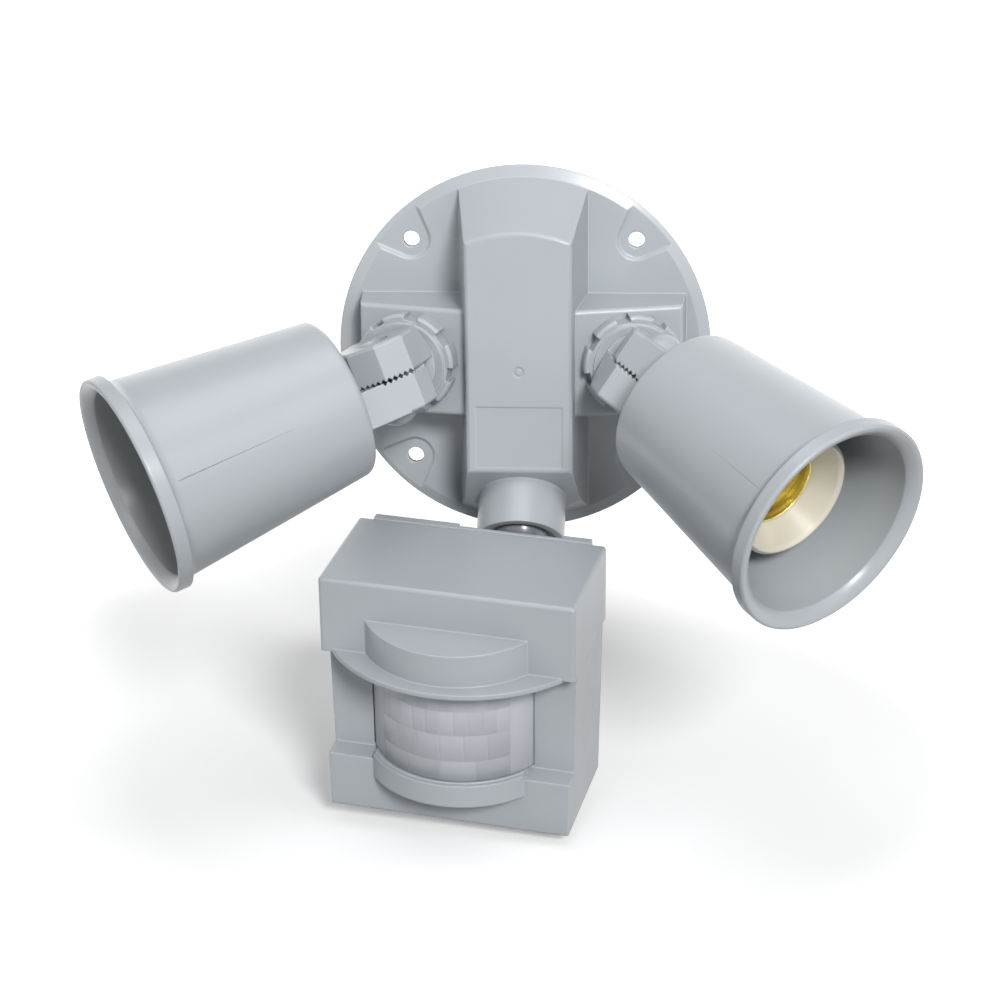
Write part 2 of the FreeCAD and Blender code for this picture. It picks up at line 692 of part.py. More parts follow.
PORCELAIN_FRONT = MOUTH - PORCELAIN_DEPTH
PORCELAIN_REAR = PORCELAIN_FRONT - PORCELAIN_LENGTH
SHELL_FOOT = PORCELAIN_REAR + PORCELAIN_FLOOR


def make_lampholder():
    """Bell with its lip, the post for the socket and the serrated ear with its domed boss."""
    solid = bell_outline().revolve(V(0, 0, 0), Z_AXIS, 360)
    post = rod(SOCKET_POST_RADIUS, PORCELAIN_REAR - BELL_START - 1, V(0, 0, BELL_START + 1))
    solid = solid.fuse(post)
    solid = solid.fuse(ear(1, BELL_START + 1, EAR_ACROSS))
    dome_sphere = (DOME_RADIUS ** 2 + DOME_HEIGHT ** 2) / (2 * DOME_HEIGHT)
    dome_centre = EAR_THICK + DOME_HEIGHT - dome_sphere
    dome = Part.makeSphere(dome_sphere, V(dome_centre, 0, 0))
    dome = dome.common(rod(DOME_RADIUS, FAR, V(EAR_THICK - 1, 0, 0), X_AXIS))
    solid = solid.fuse(dome)
    solid = solid.cut(rod(CLAMP_SCREW_RADIUS, EAR_THICK + 1, V(-1, 0, 0), X_AXIS))
    solid = solid.cut(nut_prism())
    wire_length = PORCELAIN_REAR - BELL_START + 2
    wire_way = rod(BELL_WIRE_RADIUS, wire_length, V(0, 0, BELL_START - 1 + BELL_WALL))
    solid = solid.cut(wire_way)
    for side in (-1, 1):
        hole_start = V(side * SOCKET_SCREW_OFFSET, 0, BELL_START + BELL_WALL)
        solid = solid.cut(rod(SOCKET_SCREW_RADIUS, FAR, hole_start))
    return solid


def nut_prism():
    """The clamp nut's hexagon in its pocket."""
    return polygon_prism(6, CLAMP_NUT_ACROSS, NUT_POCKET_START, NUT_POCKET_START + CLAMP_NUT_HEIGHT, 0)


def make_clamp_screw():
    """Pan head screw through both ears."""
    head_face = -(EAR_THICK - HEAD_RECESS_DEPTH)
    shank = rod(CLAMP_SCREW_RADIUS, EAR_THICK - head_face, V(head_face, 0, 0), X_AXIS)
    head = rod(CLAMP_HEAD_RADIUS, CLAMP_HEAD_HEIGHT, V(head_face, 0, 0), V(-1, 0, 0))
    top = head_face - CLAMP_HEAD_HEIGHT
    head = rounded(head, CLAMP_HEAD_ROUND, lambda edge: abs(edge.Vertexes[0].X - top) < 0.01)
    half = CLAMP_SLOT_WIDTH / 2
    slot = block((top - 1, -half, -FAR), (top + CLAMP_SLOT_DEPTH, half, FAR))
    return shank.fuse(head).cut(slot)


def make_clamp_nut():
    """Hexagonal nut held in the lampholder's ear."""
    return nut_prism().cut(rod(CLAMP_SCREW_RADIUS, FAR, V(0, 0, 0), X_AXIS))


def make_porcelain():
    """Glazed socket body."""
    front = PORCELAIN_FRONT
    rear = PORCELAIN_REAR
    bore = SHELL_BORE_RADIUS + SHELL_WALL + SHELL_SEAT_GAP
    cone_foot = front - PORCELAIN_CONE_DEPTH
    outer = PORCELAIN_OUTER_EDGE
    inner = PORCELAIN_INNER_EDGE
    profile = [(0, rear), (PORCELAIN_REAR_RADIUS, rear), (PORCELAIN_RADIUS, front - PORCELAIN_BAND),
               (PORCELAIN_RADIUS, front - outer), (PORCELAIN_RADIUS - outer, front),
               (PORCELAIN_MOUTH_RADIUS + inner, front), (PORCELAIN_MOUTH_RADIUS, front - inner),
               (bore, cone_foot), (bore, SHELL_FOOT), (0, SHELL_FOOT)]
    solid = turned(profile)
    for side in (-1, 1):
        hole = rod(SOCKET_SCREW_RADIUS, FAR, V(side * SOCKET_SCREW_OFFSET, 0, rear - 1))
        solid = solid.cut(hole)
    return solid


def make_screw_shell():
    """Brass shell that takes the lamp's screw cap, drawn in at its foot."""
    inner = SHELL_BORE_RADIUS
    outer = inner + SHELL_WALL
    top = SHELL_FOOT + SHELL_LENGTH
    step = SHELL_FOOT + SHELL_STEP_HEIGHT
    foot_inner = inner - SHELL_STEP_IN
    foot_outer = outer - SHELL_STEP_IN
    profile = [(SHELL_LIP_RADIUS, SHELL_FOOT), (foot_outer, SHELL_FOOT),
               (foot_outer, step - SHELL_STEP_IN), (outer, step), (outer, top), (inner, top),
               (inner, step), (foot_inner, step - SHELL_STEP_IN),
               (foot_inner, SHELL_FOOT + SHELL_WALL), (SHELL_LIP_RADIUS, SHELL_FOOT + SHELL_WALL)]
    return turned(profile)


def make_centre_contact():
    """Brass centre contact on the socket's floor."""
    foot = rod(CONTACT_RADIUS, CONTACT_FOOT, V(0, 0, SHELL_FOOT))
    button = rod(CONTACT_BUTTON_RADIUS, CONTACT_HEIGHT, V(0, 0, SHELL_FOOT))
    return foot.fuse(button)


def make_socket_screws():
    """Two screws that hold the porcelain to the bell's post."""
    screws = []
    for side in (-1, 1):
        place = V(side * SOCKET_SCREW_OFFSET, 0, BELL_START + BELL_WALL)
        shank = rod(SOCKET_SCREW_RADIUS, SHELL_FOOT - place.z, place)
        head_place = V(place.x, 0, SHELL_FOOT)
        screws.append(shank.fuse(rod(SOCKET_HEAD_RADIUS, SOCKET_HEAD_HEIGHT, head_place)))
    return Part.makeCompound(screws)


def arm_frames(side, turn, bend):
    """Frames of one arm's stem and lampholder, from its turn and bend."""
    outward = pad_outward(side)
    level = outward.cross(Z_AXIS)
    angle = math.radians(turn)
    clamp = Z_AXIS * math.cos(angle) + level * math.sin(angle)
    origin = V(side * PAD_CENTRE_X, -PAD_HEIGHT, PAD_CENTRE_Z)
    stem = placement(origin, clamp, outward)
    lean = math.radians(bend)
    lamp = outward * math.cos(lean) + clamp.cross(outward) * math.sin(lean)
    pivot = origin + outward * PIVOT_HEIGHT
    return stem, placement(pivot, clamp, lamp)


# Ball joint and sensor head

def ball_centre():
    """Centre of the ball in the object's frame."""
    point = collar_mouth() - COLLAR_AXIS * BALL_SETBACK
    return CANOPY_FRAME.multVec(point)


def sensor_frame():
    """Frame of the sensor head: origin at the top back edge of the hood."""
    yaw = FreeCAD.Rotation(Z_AXIS, SENSOR_YAW)
    pitch = FreeCAD.Rotation(X_AXIS, SENSOR_PITCH)
    roll = FreeCAD.Rotation(Y_AXIS, SENSOR_ROLL)
    turn = yaw.multiply(pitch).multiply(roll)
    ball = V(BALL_OFFSIDE, BALL_BEHIND, -BALL_BELOW)
    origin = ball_centre() - turn.multVec(ball)
    return FreeCAD.Placement(origin, turn)


def make_ball_seat():
    """Ring in the collar that holds the ball and turns with it."""
    outer = COLLAR_BORE_RADIUS - SEAT_CLEARANCE
    start = SEAT_SETBACK
    ring = rod(outer, SEAT_LENGTH, V(0, 0, -start - SEAT_LENGTH))
    ring = ring.cut(Part.makeSphere(BALL_RADIUS + BALL_GAP, V(0, 0, -BALL_SETBACK)))
    frame = placement(collar_mouth(), X_AXIS, COLLAR_AXIS)
    return placed(ring, CANOPY_FRAME.multiply(frame))


def make_sensor_arm():
    """Ball, neck and foot of the sensor's arm, in the sensor's frame."""
    ball = V(BALL_OFFSIDE, BALL_BEHIND, -BALL_BELOW)
    foot = V(BALL_OFFSIDE, COVER_THICK, -FOOT_BELOW)
    along = foot - ball
    solid = Part.makeSphere(BALL_RADIUS, ball)
    neck = rod(NECK_RADIUS, along.Length + FOOT_THICK, ball, along)
    behind_cover = block((-FAR, COVER_THICK, -FAR), (FAR, FAR, FAR))
    solid = solid.fuse(neck.common(behind_cover))
    solid = solid.fuse(rod(FOOT_RADIUS, FOOT_THICK, foot, Y_AXIS))
    back = ball - along * (BALL_RADIUS / along.Length + 0.1)
    return solid.cut(rod(NECK_BORE_RADIUS, FAR, back, along))


def body_half_width(depth_below):
    """Half width of the sensor's body at a distance below the hood's top."""
    share = depth_below / BODY_HEIGHT
    return (BODY_TOP_WIDTH + (BODY_FOOT_WIDTH - BODY_TOP_WIDTH) * share) / 2


def body_form(inset):
    """The sensor's body with its forward foot block, or its hollow."""
    front = -HOOD_DEPTH + inset
    face = -(HOOD_DEPTH - BODY_FRONT_SETBACK) + inset
    foot = -BODY_HEIGHT + inset
    back = 0 if inset == 0 else 1
    side = [(back, 0), (face, 0), (face, -LEDGE_TOP - inset), (front, -LEDGE_FOOT - inset),
            (front, foot), (back, foot)]
    block_form = along_x(side, -HOOD_WIDTH, HOOD_WIDTH)
    top_half = body_half_width(0) - inset
    foot_half = body_half_width(BODY_HEIGHT) - inset
    outline = [(-top_half, 0), (top_half, 0), (foot_half, -BODY_HEIGHT), (-foot_half, -BODY_HEIGHT)]
    return block_form.common(along_y(outline, -HOOD_DEPTH - 1, 1))


def arc_slab(radius, centre, top, foot):
    """A round slab about an upright axis on the sensor's middle line."""
    return rod(radius, foot - top, V(0, -centre, -foot))


def controls_plane():
    """Y of the middle of the controls under the body."""
    return -CONTROL_DEPTH


def make_sensor_housing():
    """Front housing: body shell, window, lower lip and the seats of the controls."""
    solid = body_form(0)
    inner_half = HOOD_WIDTH / 2 - HOOD_WALL - REBATE_GAP
    hood_room = block((-FAR, -FAR, -HOOD_HEIGHT - REBATE_GAP), (FAR, FAR, FAR))
    upper = block((-inner_half, -FAR, -FAR), (inner_half, FAR, -HOOD_WALL))
    solid = solid.cut(hood_room.cut(upper))
    bar = arc_slab(LIP_BAR_RADIUS, LENS_CENTRE, LENS_FOOT, LIP_BAR_FOOT)
    bar = bar.common(block((-LIP_BAR_HALF, -FAR, -FAR), (LIP_BAR_HALF, LIP_BAR_ROOT - HOOD_DEPTH, FAR)))
    solid = solid.fuse(bar)
    hollow = body_form(BODY_WALL).cut(block((-FAR, -FAR, -HOOD_WALL - BODY_WALL), (FAR, FAR, FAR)))
    hollow_half = inner_half - BODY_WALL
    upper_hollow = block((-hollow_half, -FAR, -HOOD_HEIGHT - BODY_WALL), (hollow_half, FAR, FAR))
    upper_zone = block((-FAR, -FAR, -HOOD_HEIGHT - BODY_WALL), (FAR, FAR, FAR))
    hollow = hollow.cut(upper_zone).fuse(hollow.common(upper_hollow))
    solid = solid.cut(hollow)
    window = arc_slab(LENS_RADIUS + WINDOW_GAP, LENS_CENTRE, LENS_TOP, LENS_FOOT)
    solid = solid.cut(window)
    for x, z in cover_screw_places():
        boss = rod(COVER_SCREW_BOSS, COVER_SCREW_LENGTH, V(x, -COVER_SCREW_LENGTH, z), Y_AXIS)
        wall_x = math.copysign(inner_half - 0.5, x)
        rib = block((min(x, wall_x), -COVER_SCREW_LENGTH, z - COVER_SCREW_BOSS / 2),
                    (max(x, wall_x), 0, z + COVER_SCREW_BOSS / 2))
        solid = solid.fuse(boss.fuse(rib).common(body_form(0)))
        hole_end = V(x, COVER_SCREW_END_GAP - COVER_SCREW_LENGTH, z)
        solid = solid.cut(rod(COVER_SCREW_RADIUS, FAR, hole_end, Y_AXIS))
    knob_hole = rod(KNOB_SHAFT_RADIUS + KNOB_CLEARANCE, BODY_WALL + 2,
                    V(KNOB_X, controls_plane(), -BODY_HEIGHT - 1))
    solid = solid.cut(knob_hole)
    slot_half = (SWITCH_LENGTH + SWITCH_TRAVEL) / 2 + SWITCH_GAP
    slot_wide = SWITCH_WIDTH / 2 + SWITCH_GAP
    slot = block((SWITCH_X - slot_half, controls_plane() - slot_wide, -BODY_HEIGHT - 1),
                 (SWITCH_X + slot_half, controls_plane() + slot_wide, -BODY_HEIGHT + BODY_WALL + 1))
    return solid.cut(slot)


def cover_screw_places():
    """Middle points of the four cover screws as (x, z)."""
    half = COVER_FOOT_WIDTH / 2 - COVER_SCREW_INSET
    top = -COVER_SCREW_INSET - COVER_SCREW_TOP_DROP
    foot = -BODY_HEIGHT + COVER_SCREW_INSET
    return [(side * half, z) for side in (-1, 1) for z in (top, foot)]


def make_hood():
    """Rain hood over the body, with the drum over the lens and the curved brim."""
    half = HOOD_WIDTH / 2
    outer = block((-half, -HOOD_DEPTH, -HOOD_HEIGHT), (half, 0, 0))

    def rounds(edge):
        points = [vertex.Point for vertex in edge.Vertexes]
        top_or_front = all(point.z > -0.01 or point.y < 0.01 - HOOD_DEPTH for point in points)
        at_back = all(point.y > -0.01 for point in points)
        at_foot = all(point.z < 0.01 - HOOD_HEIGHT for point in points)
        return top_or_front and not at_back and not at_foot

    outer = rounded(outer, HOOD_EDGE, rounds)
    drum = arc_slab(DRUM_RADIUS, DRUM_CENTRE, 0, BRIM_TOP + SHARED_OVERLAP)
    reach = DRUM_RADIUS + DRUM_CENTRE
    fall = (reach - HOOD_DEPTH) * math.tan(math.radians(DRUM_SLOPE))
    root = DRUM_ROOT - HOOD_DEPTH
    roof = [(root, -DRUM_TOP), (-reach, -DRUM_TOP - fall), (-reach, -FAR), (root, -FAR)]
    drum = drum.common(along_x(roof, -half, half))
    brim_centre = BRIM_REACH - BRIM_RADIUS
    brim = arc_slab(BRIM_RADIUS, brim_centre, BRIM_TOP, LENS_TOP)
    brim = brim.common(block((-half, -FAR, -FAR), (half, -HOOD_DEPTH + HOOD_WALL, FAR)))
    solid = outer.fuse(drum).fuse(brim)
    inner = block((-half + HOOD_WALL, -HOOD_DEPTH + HOOD_WALL, -HOOD_HEIGHT - 1),
                  (half - HOOD_WALL, 1, -HOOD_WALL))
    drum_room = arc_slab(DRUM_RADIUS - DRUM_WALL, DRUM_CENTRE, DRUM_TOP + DRUM_ROOF, BRIM_TOP)
    solid = solid.cut(inner)
    return solid.cut(drum_room)


def make_lens():
    """Curved milky lens sheet behind the window's edges."""
    outer = arc_slab(LENS_RADIUS, LENS_CENTRE, LENS_TOP, LENS_FOOT)
    inner = rod(LENS_RADIUS - LENS_THICK, FAR, V(0, -LENS_CENTRE, -FAR))
    sheet = outer.cut(inner)
    face = HOOD_DEPTH - BODY_FRONT_SETBACK
    return sheet.common(block((-FAR, -FAR, -FAR), (FAR, -face + BODY_WALL, FAR)))


def make_back_cover():
    """Flat back cover with a plug that locates it in the housing."""
    top_half = COVER_WIDTH / 2
    foot_half = COVER_FOOT_WIDTH / 2
    outline = [(-top_half, COVER_RISE), (top_half, COVER_RISE), (foot_half, -BODY_HEIGHT),
               (-foot_half, -BODY_HEIGHT)]
    solid = along_y(outline, 0, COVER_THICK)
    solid = bevelled(solid, COVER_EDGE,
                     lambda edge: all(abs(vertex.Y - COVER_THICK) < 0.01 for vertex in edge.Vertexes))
    half = COVER_RELIEF_WIDTH / 2
    relief = block((BALL_OFFSIDE - half, COVER_RELIEF_LEAVES, COVER_RISE - COVER_RELIEF_DROP),
                   (BALL_OFFSIDE + half, FAR, FAR))
    solid = solid.cut(relief)
    for x, z in board_boss_places():
        solid = solid.fuse(rod(BOSS_RADIUS, BOARD_STANDOFF + 1, V(x, 1, z), V(0, -1, 0)))
        solid = solid.cut(rod(BOARD_SCREW_RADIUS, BOARD_STANDOFF, V(x, -BOARD_STANDOFF, z), Y_AXIS))
    for x, z in cover_screw_places():
        solid = solid.cut(rod(COVER_SCREW_RADIUS, FAR, V(x, -1, z), Y_AXIS))
        seat = COVER_THICK - COVER_SCREW_HEAD
        solid = solid.cut(rod(COVER_SCREW_HEAD_RADIUS + COVER_SCREW_SINK, FAR, V(x, seat, z), Y_AXIS))
    wire_hole = rod(COVER_WIRE_RADIUS, FAR, V(BALL_OFFSIDE, -1, -FOOT_BELOW), Y_AXIS)
    return solid.cut(wire_hole)


def board_boss_places():
    """Middle points of the board's four bosses as (x, z)."""
    half = BOARD_WIDTH / 2 - BOARD_HOLE_INSET
    top = -BOARD_TOP - BOARD_HOLE_INSET
    foot = -BOARD_TOP - BOARD_HEIGHT + BOARD_HOLE_INSET
    return [(side * half, z) for side in (-1, 1) for z in (top, foot)]


def board_face():
    """Y of the board's front face, which carries the parts."""
    return -BOARD_STANDOFF - BOARD_THICK


def make_board():
    """Circuit board."""
    half = BOARD_WIDTH / 2
    solid = block((-half, board_face(), -BOARD_TOP - BOARD_HEIGHT), (half, -BOARD_STANDOFF, -BOARD_TOP))
    for x, z in board_boss_places():
        solid = solid.cut(rod(BOARD_SCREW_RADIUS, FAR, V(x, -FAR / 2, z), Y_AXIS))
    return solid


def make_board_screws():
    """Four screws that hold the board to its bosses."""
    screws = []
    for x, z in board_boss_places():
        head = rod(BOARD_SCREW_HEAD, BOARD_SCREW_HEAD_HEIGHT, V(x, board_face(), z), -Y_AXIS)
        shank = rod(BOARD_SCREW_RADIUS, BOARD_THICK + BOARD_SCREW_BITE, V(x, board_face(), z), Y_AXIS)
        screws.append(head.fuse(shank))
    return Part.makeCompound(screws)


def make_pir_holder():
    """Plastic post that brings the heat sensing element to the lens's middle."""
    half = PIR_HOLDER_WIDTH / 2
    front = board_face() - PIR_HOLDER
    return block((-half, front, -PIR_HEIGHT - half), (half, board_face(), -PIR_HEIGHT + half))


def make_pir_element():
    """Round metal can of the heat sensing element."""
    front = board_face() - PIR_HOLDER
    can = rod(PIR_CAN_RADIUS, PIR_CAN_LENGTH, V(0, front, -PIR_HEIGHT), V(0, -1, 0))
    brim = rod(PIR_CAN_RADIUS + PIR_CAN_BRIM, PIR_CAN_BRIM_THICK, V(0, front, -PIR_HEIGHT), V(0, -1, 0))
    return can.fuse(brim)


def make_relay():
    """Relay that switches the lamps."""
    width, height, depth = RELAY_SIZE
    left = -PIR_HOLDER_WIDTH / 2 - RELAY_FROM_HOLDER - width
    foot = -BOARD_TOP - BOARD_HEIGHT + RELAY_FROM_FOOT
    return block((left, board_face() - depth, foot), (left + width, board_face(), foot + height))


def make_capacitor():
    """Round capacitor standing on the board."""
    x = PIR_HOLDER_WIDTH / 2 + CAPACITOR_FROM_HOLDER + CAPACITOR_RADIUS
    place = V(x, board_face(), -BOARD_TOP - BOARD_HEIGHT + CAPACITOR_FROM_FOOT)
    return rod(CAPACITOR_RADIUS, CAPACITOR_LENGTH, place, V(0, -1, 0))


def make_photocell():
    """Light cell that keeps the lamps off by day."""
    place = V(PHOTOCELL_X, board_face(), -BOARD_TOP - BOARD_HEIGHT + PHOTOCELL_FROM_FOOT)
    return rod(PHOTOCELL_RADIUS, PHOTOCELL_LENGTH, place, V(0, -1, 0))


def make_cover_screws():
    """Four screws that hold the back cover."""
    screws = []
    for x, z in cover_screw_places():
        seat = COVER_THICK - COVER_SCREW_HEAD
        head = rod(COVER_SCREW_HEAD_RADIUS, COVER_SCREW_HEAD - COVER_SCREW_SINK, V(x, seat, z), Y_AXIS)
        reach = seat + COVER_SCREW_LENGTH - COVER_SCREW_END_GAP
        shank = rod(COVER_SCREW_RADIUS, reach, V(x, seat, z), V(0, -1, 0))
        screws.append(head.fuse(shank))
    return Part.makeCompound(screws)


def make_range_knob():
    """Round knob under the body that sets the sensing range."""
    place = V(KNOB_X, controls_plane(), -BODY_HEIGHT - KNOB_SKIRT_GAP)
    cap = rod(KNOB_RADIUS, KNOB_HEIGHT, place, V(0, 0, -1))
    low = place.z - KNOB_HEIGHT
    cap = bevelled(cap, KNOB_BEVEL, lambda edge: abs(edge.Vertexes[0].Z - low) < 0.01)
    shaft = rod(KNOB_SHAFT_RADIUS, BODY_WALL + KNOB_SKIRT_GAP + 1, place)
    half = KNOB_SLOT_WIDTH / 2
    slot = block((KNOB_X - KNOB_SLOT_LENGTH / 2, place.y - half, low - 1),
                 (KNOB_X + KNOB_SLOT_LENGTH / 2, place.y + half, low + KNOB_SLOT_DEPTH))
    return cap.fuse(shaft).cut(slot)


def make_time_switch():
    """Slide switch under the body that sets how long the lamps stay on."""
    start = SWITCH_X - SWITCH_TRAVEL / 2
    half_long = SWITCH_LENGTH / 2
    half_wide = SWITCH_WIDTH / 2
    y = controls_plane()
    button = block((start - half_long, y - half_wide, -BODY_HEIGHT - SWITCH_PROUD),
                   (start + half_long, y + half_wide, -BODY_HEIGHT + BODY_WALL + SWITCH_GAP))
    inside = -BODY_HEIGHT + BODY_WALL + SWITCH_GAP
    foot_long = half_long + SWITCH_FOOT_STEP
    foot_wide = half_wide + SWITCH_FOOT_STEP
    foot = block((start - foot_long, y - foot_wide, inside),
                 (start + foot_long, y + foot_wide, inside + SWITCH_FOOT))
    return button.fuse(foot)


# Writing the nodes

def build():
    """Make every piece and write it in its own file."""
    os.makedirs("parts", exist_ok=True)
    save("canopy", make_canopy())
    save("canopy_gasket", make_gasket())
    stem = make_stem()
    locknut = make_locknut()
    lamp_pieces = {
        "lampholder": make_lampholder(),
        "clamp_screw": make_clamp_screw(),
        "clamp_nut": make_clamp_nut(),
        "porcelain_socket": make_porcelain(),
        "screw_shell": make_screw_shell(),
        "centre_contact": make_centre_contact(),
        "socket_screws": make_socket_screws(),
    }
    for name, side, turn, bend, nut_turn in (("left", -1, LEFT_TURN, LEFT_BEND, LEFT_NUT_TURN),
                                             ("right", 1, RIGHT_TURN, RIGHT_BEND, RIGHT_NUT_TURN)):
        stem_place, lamp_place = arm_frames(side, turn, bend)
        save(name + "_stem", placed(stem, stem_place))
        nut_place = stem_place.multiply(FreeCAD.Placement(V(0, 0, 0), FreeCAD.Rotation(Z_AXIS, nut_turn)))
        save(name + "_locknut", placed(locknut, nut_place))
        for piece, shape in lamp_pieces.items():
            save(name + "_" + piece, placed(shape, lamp_place))
    save("ball_seat", make_ball_seat())
    head = sensor_frame()
    sensor_pieces = {
        "sensor_arm": make_sensor_arm(),
        "sensor_housing": make_sensor_housing(),
        "sensor_hood": make_hood(),
        "sensor_lens": make_lens(),
        "sensor_back_cover": make_back_cover(),
        "sensor_board": make_board(),
        "board_screws": make_board_screws(),
        "pir_holder": make_pir_holder(),
        "pir_element": make_pir_element(),
        "relay": make_relay(),
        "capacitor": make_capacitor(),
        "photocell": make_photocell(),
        "cover_screws": make_cover_screws(),
        "range_knob": make_range_knob(),
        "time_switch": make_time_switch(),
    }
    for name, shape in sensor_pieces.items():
        save(name, placed(shape, head))


build()
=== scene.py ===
import bpy
import json
import math
from mathutils import Matrix, Vector


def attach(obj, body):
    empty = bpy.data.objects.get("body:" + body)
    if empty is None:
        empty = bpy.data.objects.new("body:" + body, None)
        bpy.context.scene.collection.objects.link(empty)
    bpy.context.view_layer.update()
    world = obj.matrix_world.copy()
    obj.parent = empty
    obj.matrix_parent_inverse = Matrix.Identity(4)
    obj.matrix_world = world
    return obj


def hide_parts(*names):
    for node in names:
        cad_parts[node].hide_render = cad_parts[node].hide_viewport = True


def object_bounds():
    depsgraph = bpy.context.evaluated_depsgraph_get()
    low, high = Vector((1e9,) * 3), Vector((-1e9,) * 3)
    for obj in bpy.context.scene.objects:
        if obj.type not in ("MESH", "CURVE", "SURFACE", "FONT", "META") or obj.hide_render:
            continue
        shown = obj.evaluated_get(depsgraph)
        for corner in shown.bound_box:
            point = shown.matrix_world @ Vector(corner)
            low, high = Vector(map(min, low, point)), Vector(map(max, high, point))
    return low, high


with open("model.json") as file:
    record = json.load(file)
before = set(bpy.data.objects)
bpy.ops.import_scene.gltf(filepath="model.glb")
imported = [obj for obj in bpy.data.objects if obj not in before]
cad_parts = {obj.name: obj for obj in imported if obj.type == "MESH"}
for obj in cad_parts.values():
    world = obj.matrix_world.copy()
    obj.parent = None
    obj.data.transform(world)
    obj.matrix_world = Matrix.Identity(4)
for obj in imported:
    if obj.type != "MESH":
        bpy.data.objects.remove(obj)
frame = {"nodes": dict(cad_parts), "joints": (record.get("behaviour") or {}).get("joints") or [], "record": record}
cad_low, cad_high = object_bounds()
nodes = frame["nodes"]
joints = {joint["name"]: joint for joint in frame["joints"]}
mounts = {mount["name"]: mount for mount in frame["record"]["mounts"]}

MM = 0.001

# Camera at the photograph's angle. The picture is square, PICTURE_WIDTH pixels across.
PICTURE_WIDTH = 1000.0
SENSOR_WIDTH = 36.0
FOCAL_PIXELS = 2618.3
CAMERA_PLACE = Vector((0.062546, -0.869180, 0.219179))
CAMERA_RIGHT = Vector((0.99683, 0.07885, -0.01093))
CAMERA_UP = Vector((-0.01326, 0.29982, 0.95390))

# Studio, in metres. The floor glows towards its outside, so that only the shadow shows.
FLOOR_DROP = 0.004
FLOOR_SIZE = 30.0
FLOOR_GLOW = 0.26
GLOW_START = 0.14
GLOW_END = 0.34
PAPER_SEEN = 0.95
PAPER_BOUNCE = 0.36
WORLD_LIGHT = 0.09
WORLD_COLOUR = (0.94, 0.97, 1.0, 1)
LIGHT_TARGET = (0, -0.04, 0)

# Surface of moulded plastic: lengths in millimetres, noise scales per metre
EDGE_ROUNDING = 0.8
EDGE_SAMPLES = 4
# The gain below sets how strongly the rounded edges are painted lighter, a painted highlight
EDGE_HIGHLIGHT_GAIN = 3.0
# Reach and samples of the painted shade that darkens creases, recesses and gaps between parts
CREASE_SHADE_REACH = 13.0
CREASE_SHADE_SAMPLES = 6
MOTTLE_SCALE = 38.0
PATCH_SCALE = 90.0
PATCH_DEPTH = 0.12
GRAIN_SCALE = 1500.0
WAVE_SCALE = 160.0
WAVE_SHARE = 2.0
GRAIN_HEIGHT = 0.03

# Modelling, in millimetres
MERGE_DISTANCE = 0.002
HEIGHT_MATCH = 0.01

# Lamp sockets, in millimetres along the lamp from the knuckle's pivot
THREAD_PITCH = 3.63
THREAD_CREST = 13.15
THREAD_ROOT = 13.55
SHELL_FOOT = 43.2
SHELL_TOP = 66.2
SHELL_WALL = 0.3
SHELL_CUP_FOOT = 40.0
SHELL_CUP_RADIUS = 12.5
SHELL_CUP_HOLE = 11.7
SHELL_NECK_SHARE = 0.3
THREAD_STEPS = 10
SHELL_STEPS = 72

# Lampholder bells and the parting ridges along them
BARREL_START = 20.0
BARREL_START_RADIUS = 26.9
BARREL_END = 85.0
BARREL_END_RADIUS = 33.5
RIDGE_START = 44.0
RIDGE_END = BARREL_END - 0.5
RIDGE_HALF_WIDTH = 0.22
RIDGE_RISE = 0.13
RIDGE_FOOT = -0.12
RIDGE_STEPS = 5
RIDGE_TAPER = 0.88
RIGHT_RIDGE_SINK = 0.06

# Sensor lens, in millimetres in the sensor's own frame
LENS_CENTRE = 22.8
LENS_RADIUS = 30.5
LENS_THICK = 1.0
LENS_TOP = -27.9
LENS_FOOT = -64.75
LENS_HALF_ANGLE = 67.5
CELLS_HALF_ANGLE = 45.0
# Middle and span of the painted light that makes the lens lighter towards its top
LENS_MIDDLE = -49.0
LENS_FADE = 16.0
LENS_STEPS = 90
LENS_ROWS = (
    # top, foot, number of cells
    (-29.0, -38.4, 12),
    (-38.4, -47.3, 10),
    (-47.3, -57.1, 6),
    (-57.1, -63.0, 4),
)
CELL_BORDER = 0.25
CELL_DEPTH = 0.1
CELL_BLUR_SCALE = 220.0
CELL_BLUR = 0.6
CELL_DIMMING = 1.1
BEAD_HALF_ANGLE = 54.0
BEAD_STEPS = 72
BEAD_FOOT = -64.8
BEAD_PROFILE = (
    # radius, height over the lip
    (31.25, -0.2), (31.25, 0.25), (31.4, 0.45), (31.65, 0.5),
    (31.9, 0.45), (32.05, 0.25), (32.05, -0.2), (31.25, -0.2),
)
KNOB_X = 17.0
KNOB_Y = -20.0
BODY_HEIGHT = 86.2


# Frames of the moving parts

def frame_matrix(origin, x_axis, z_axis):
    """Matrix from a part's own frame to the object's, with X and Z as given."""
    x = x_axis.normalized()
    z = z_axis.normalized()
    y = z.cross(x)
    turn = Matrix((x, y, z)).transposed().to_4x4()
    return Matrix.Translation(origin) @ turn


def lamp_matrix(side):
    """Frame of a lampholder: origin at the knuckle's pivot, z out along the lamp."""
    knuckle = joints[side + "_knuckle"]
    socket = mounts[side + "_lamp_socket"]
    return frame_matrix(Vector(knuckle["pos_m"]), Vector(knuckle["axis"]), Vector(socket["axis"]))


def sensor_matrix():
    """Frame of the sensor head: origin at the top back edge of its hood."""
    across = Vector(joints["time_slide"]["axis"])
    up = -Vector(joints["range_turn"]["axis"])
    turn = frame_matrix(Vector((0, 0, 0)), across, up)
    knob = turn @ (Vector((KNOB_X, KNOB_Y, -BODY_HEIGHT)) * MM)
    return Matrix.Translation(Vector(joints["range_turn"]["pos_m"]) - knob) @ turn


# Modelling by hand

def deselect():
    """Leave nothing selected in object mode."""
    if bpy.context.object and bpy.context.object.mode != "OBJECT":
        bpy.ops.object.mode_set(mode="OBJECT")
    bpy.ops.object.select_all(action="DESELECT")


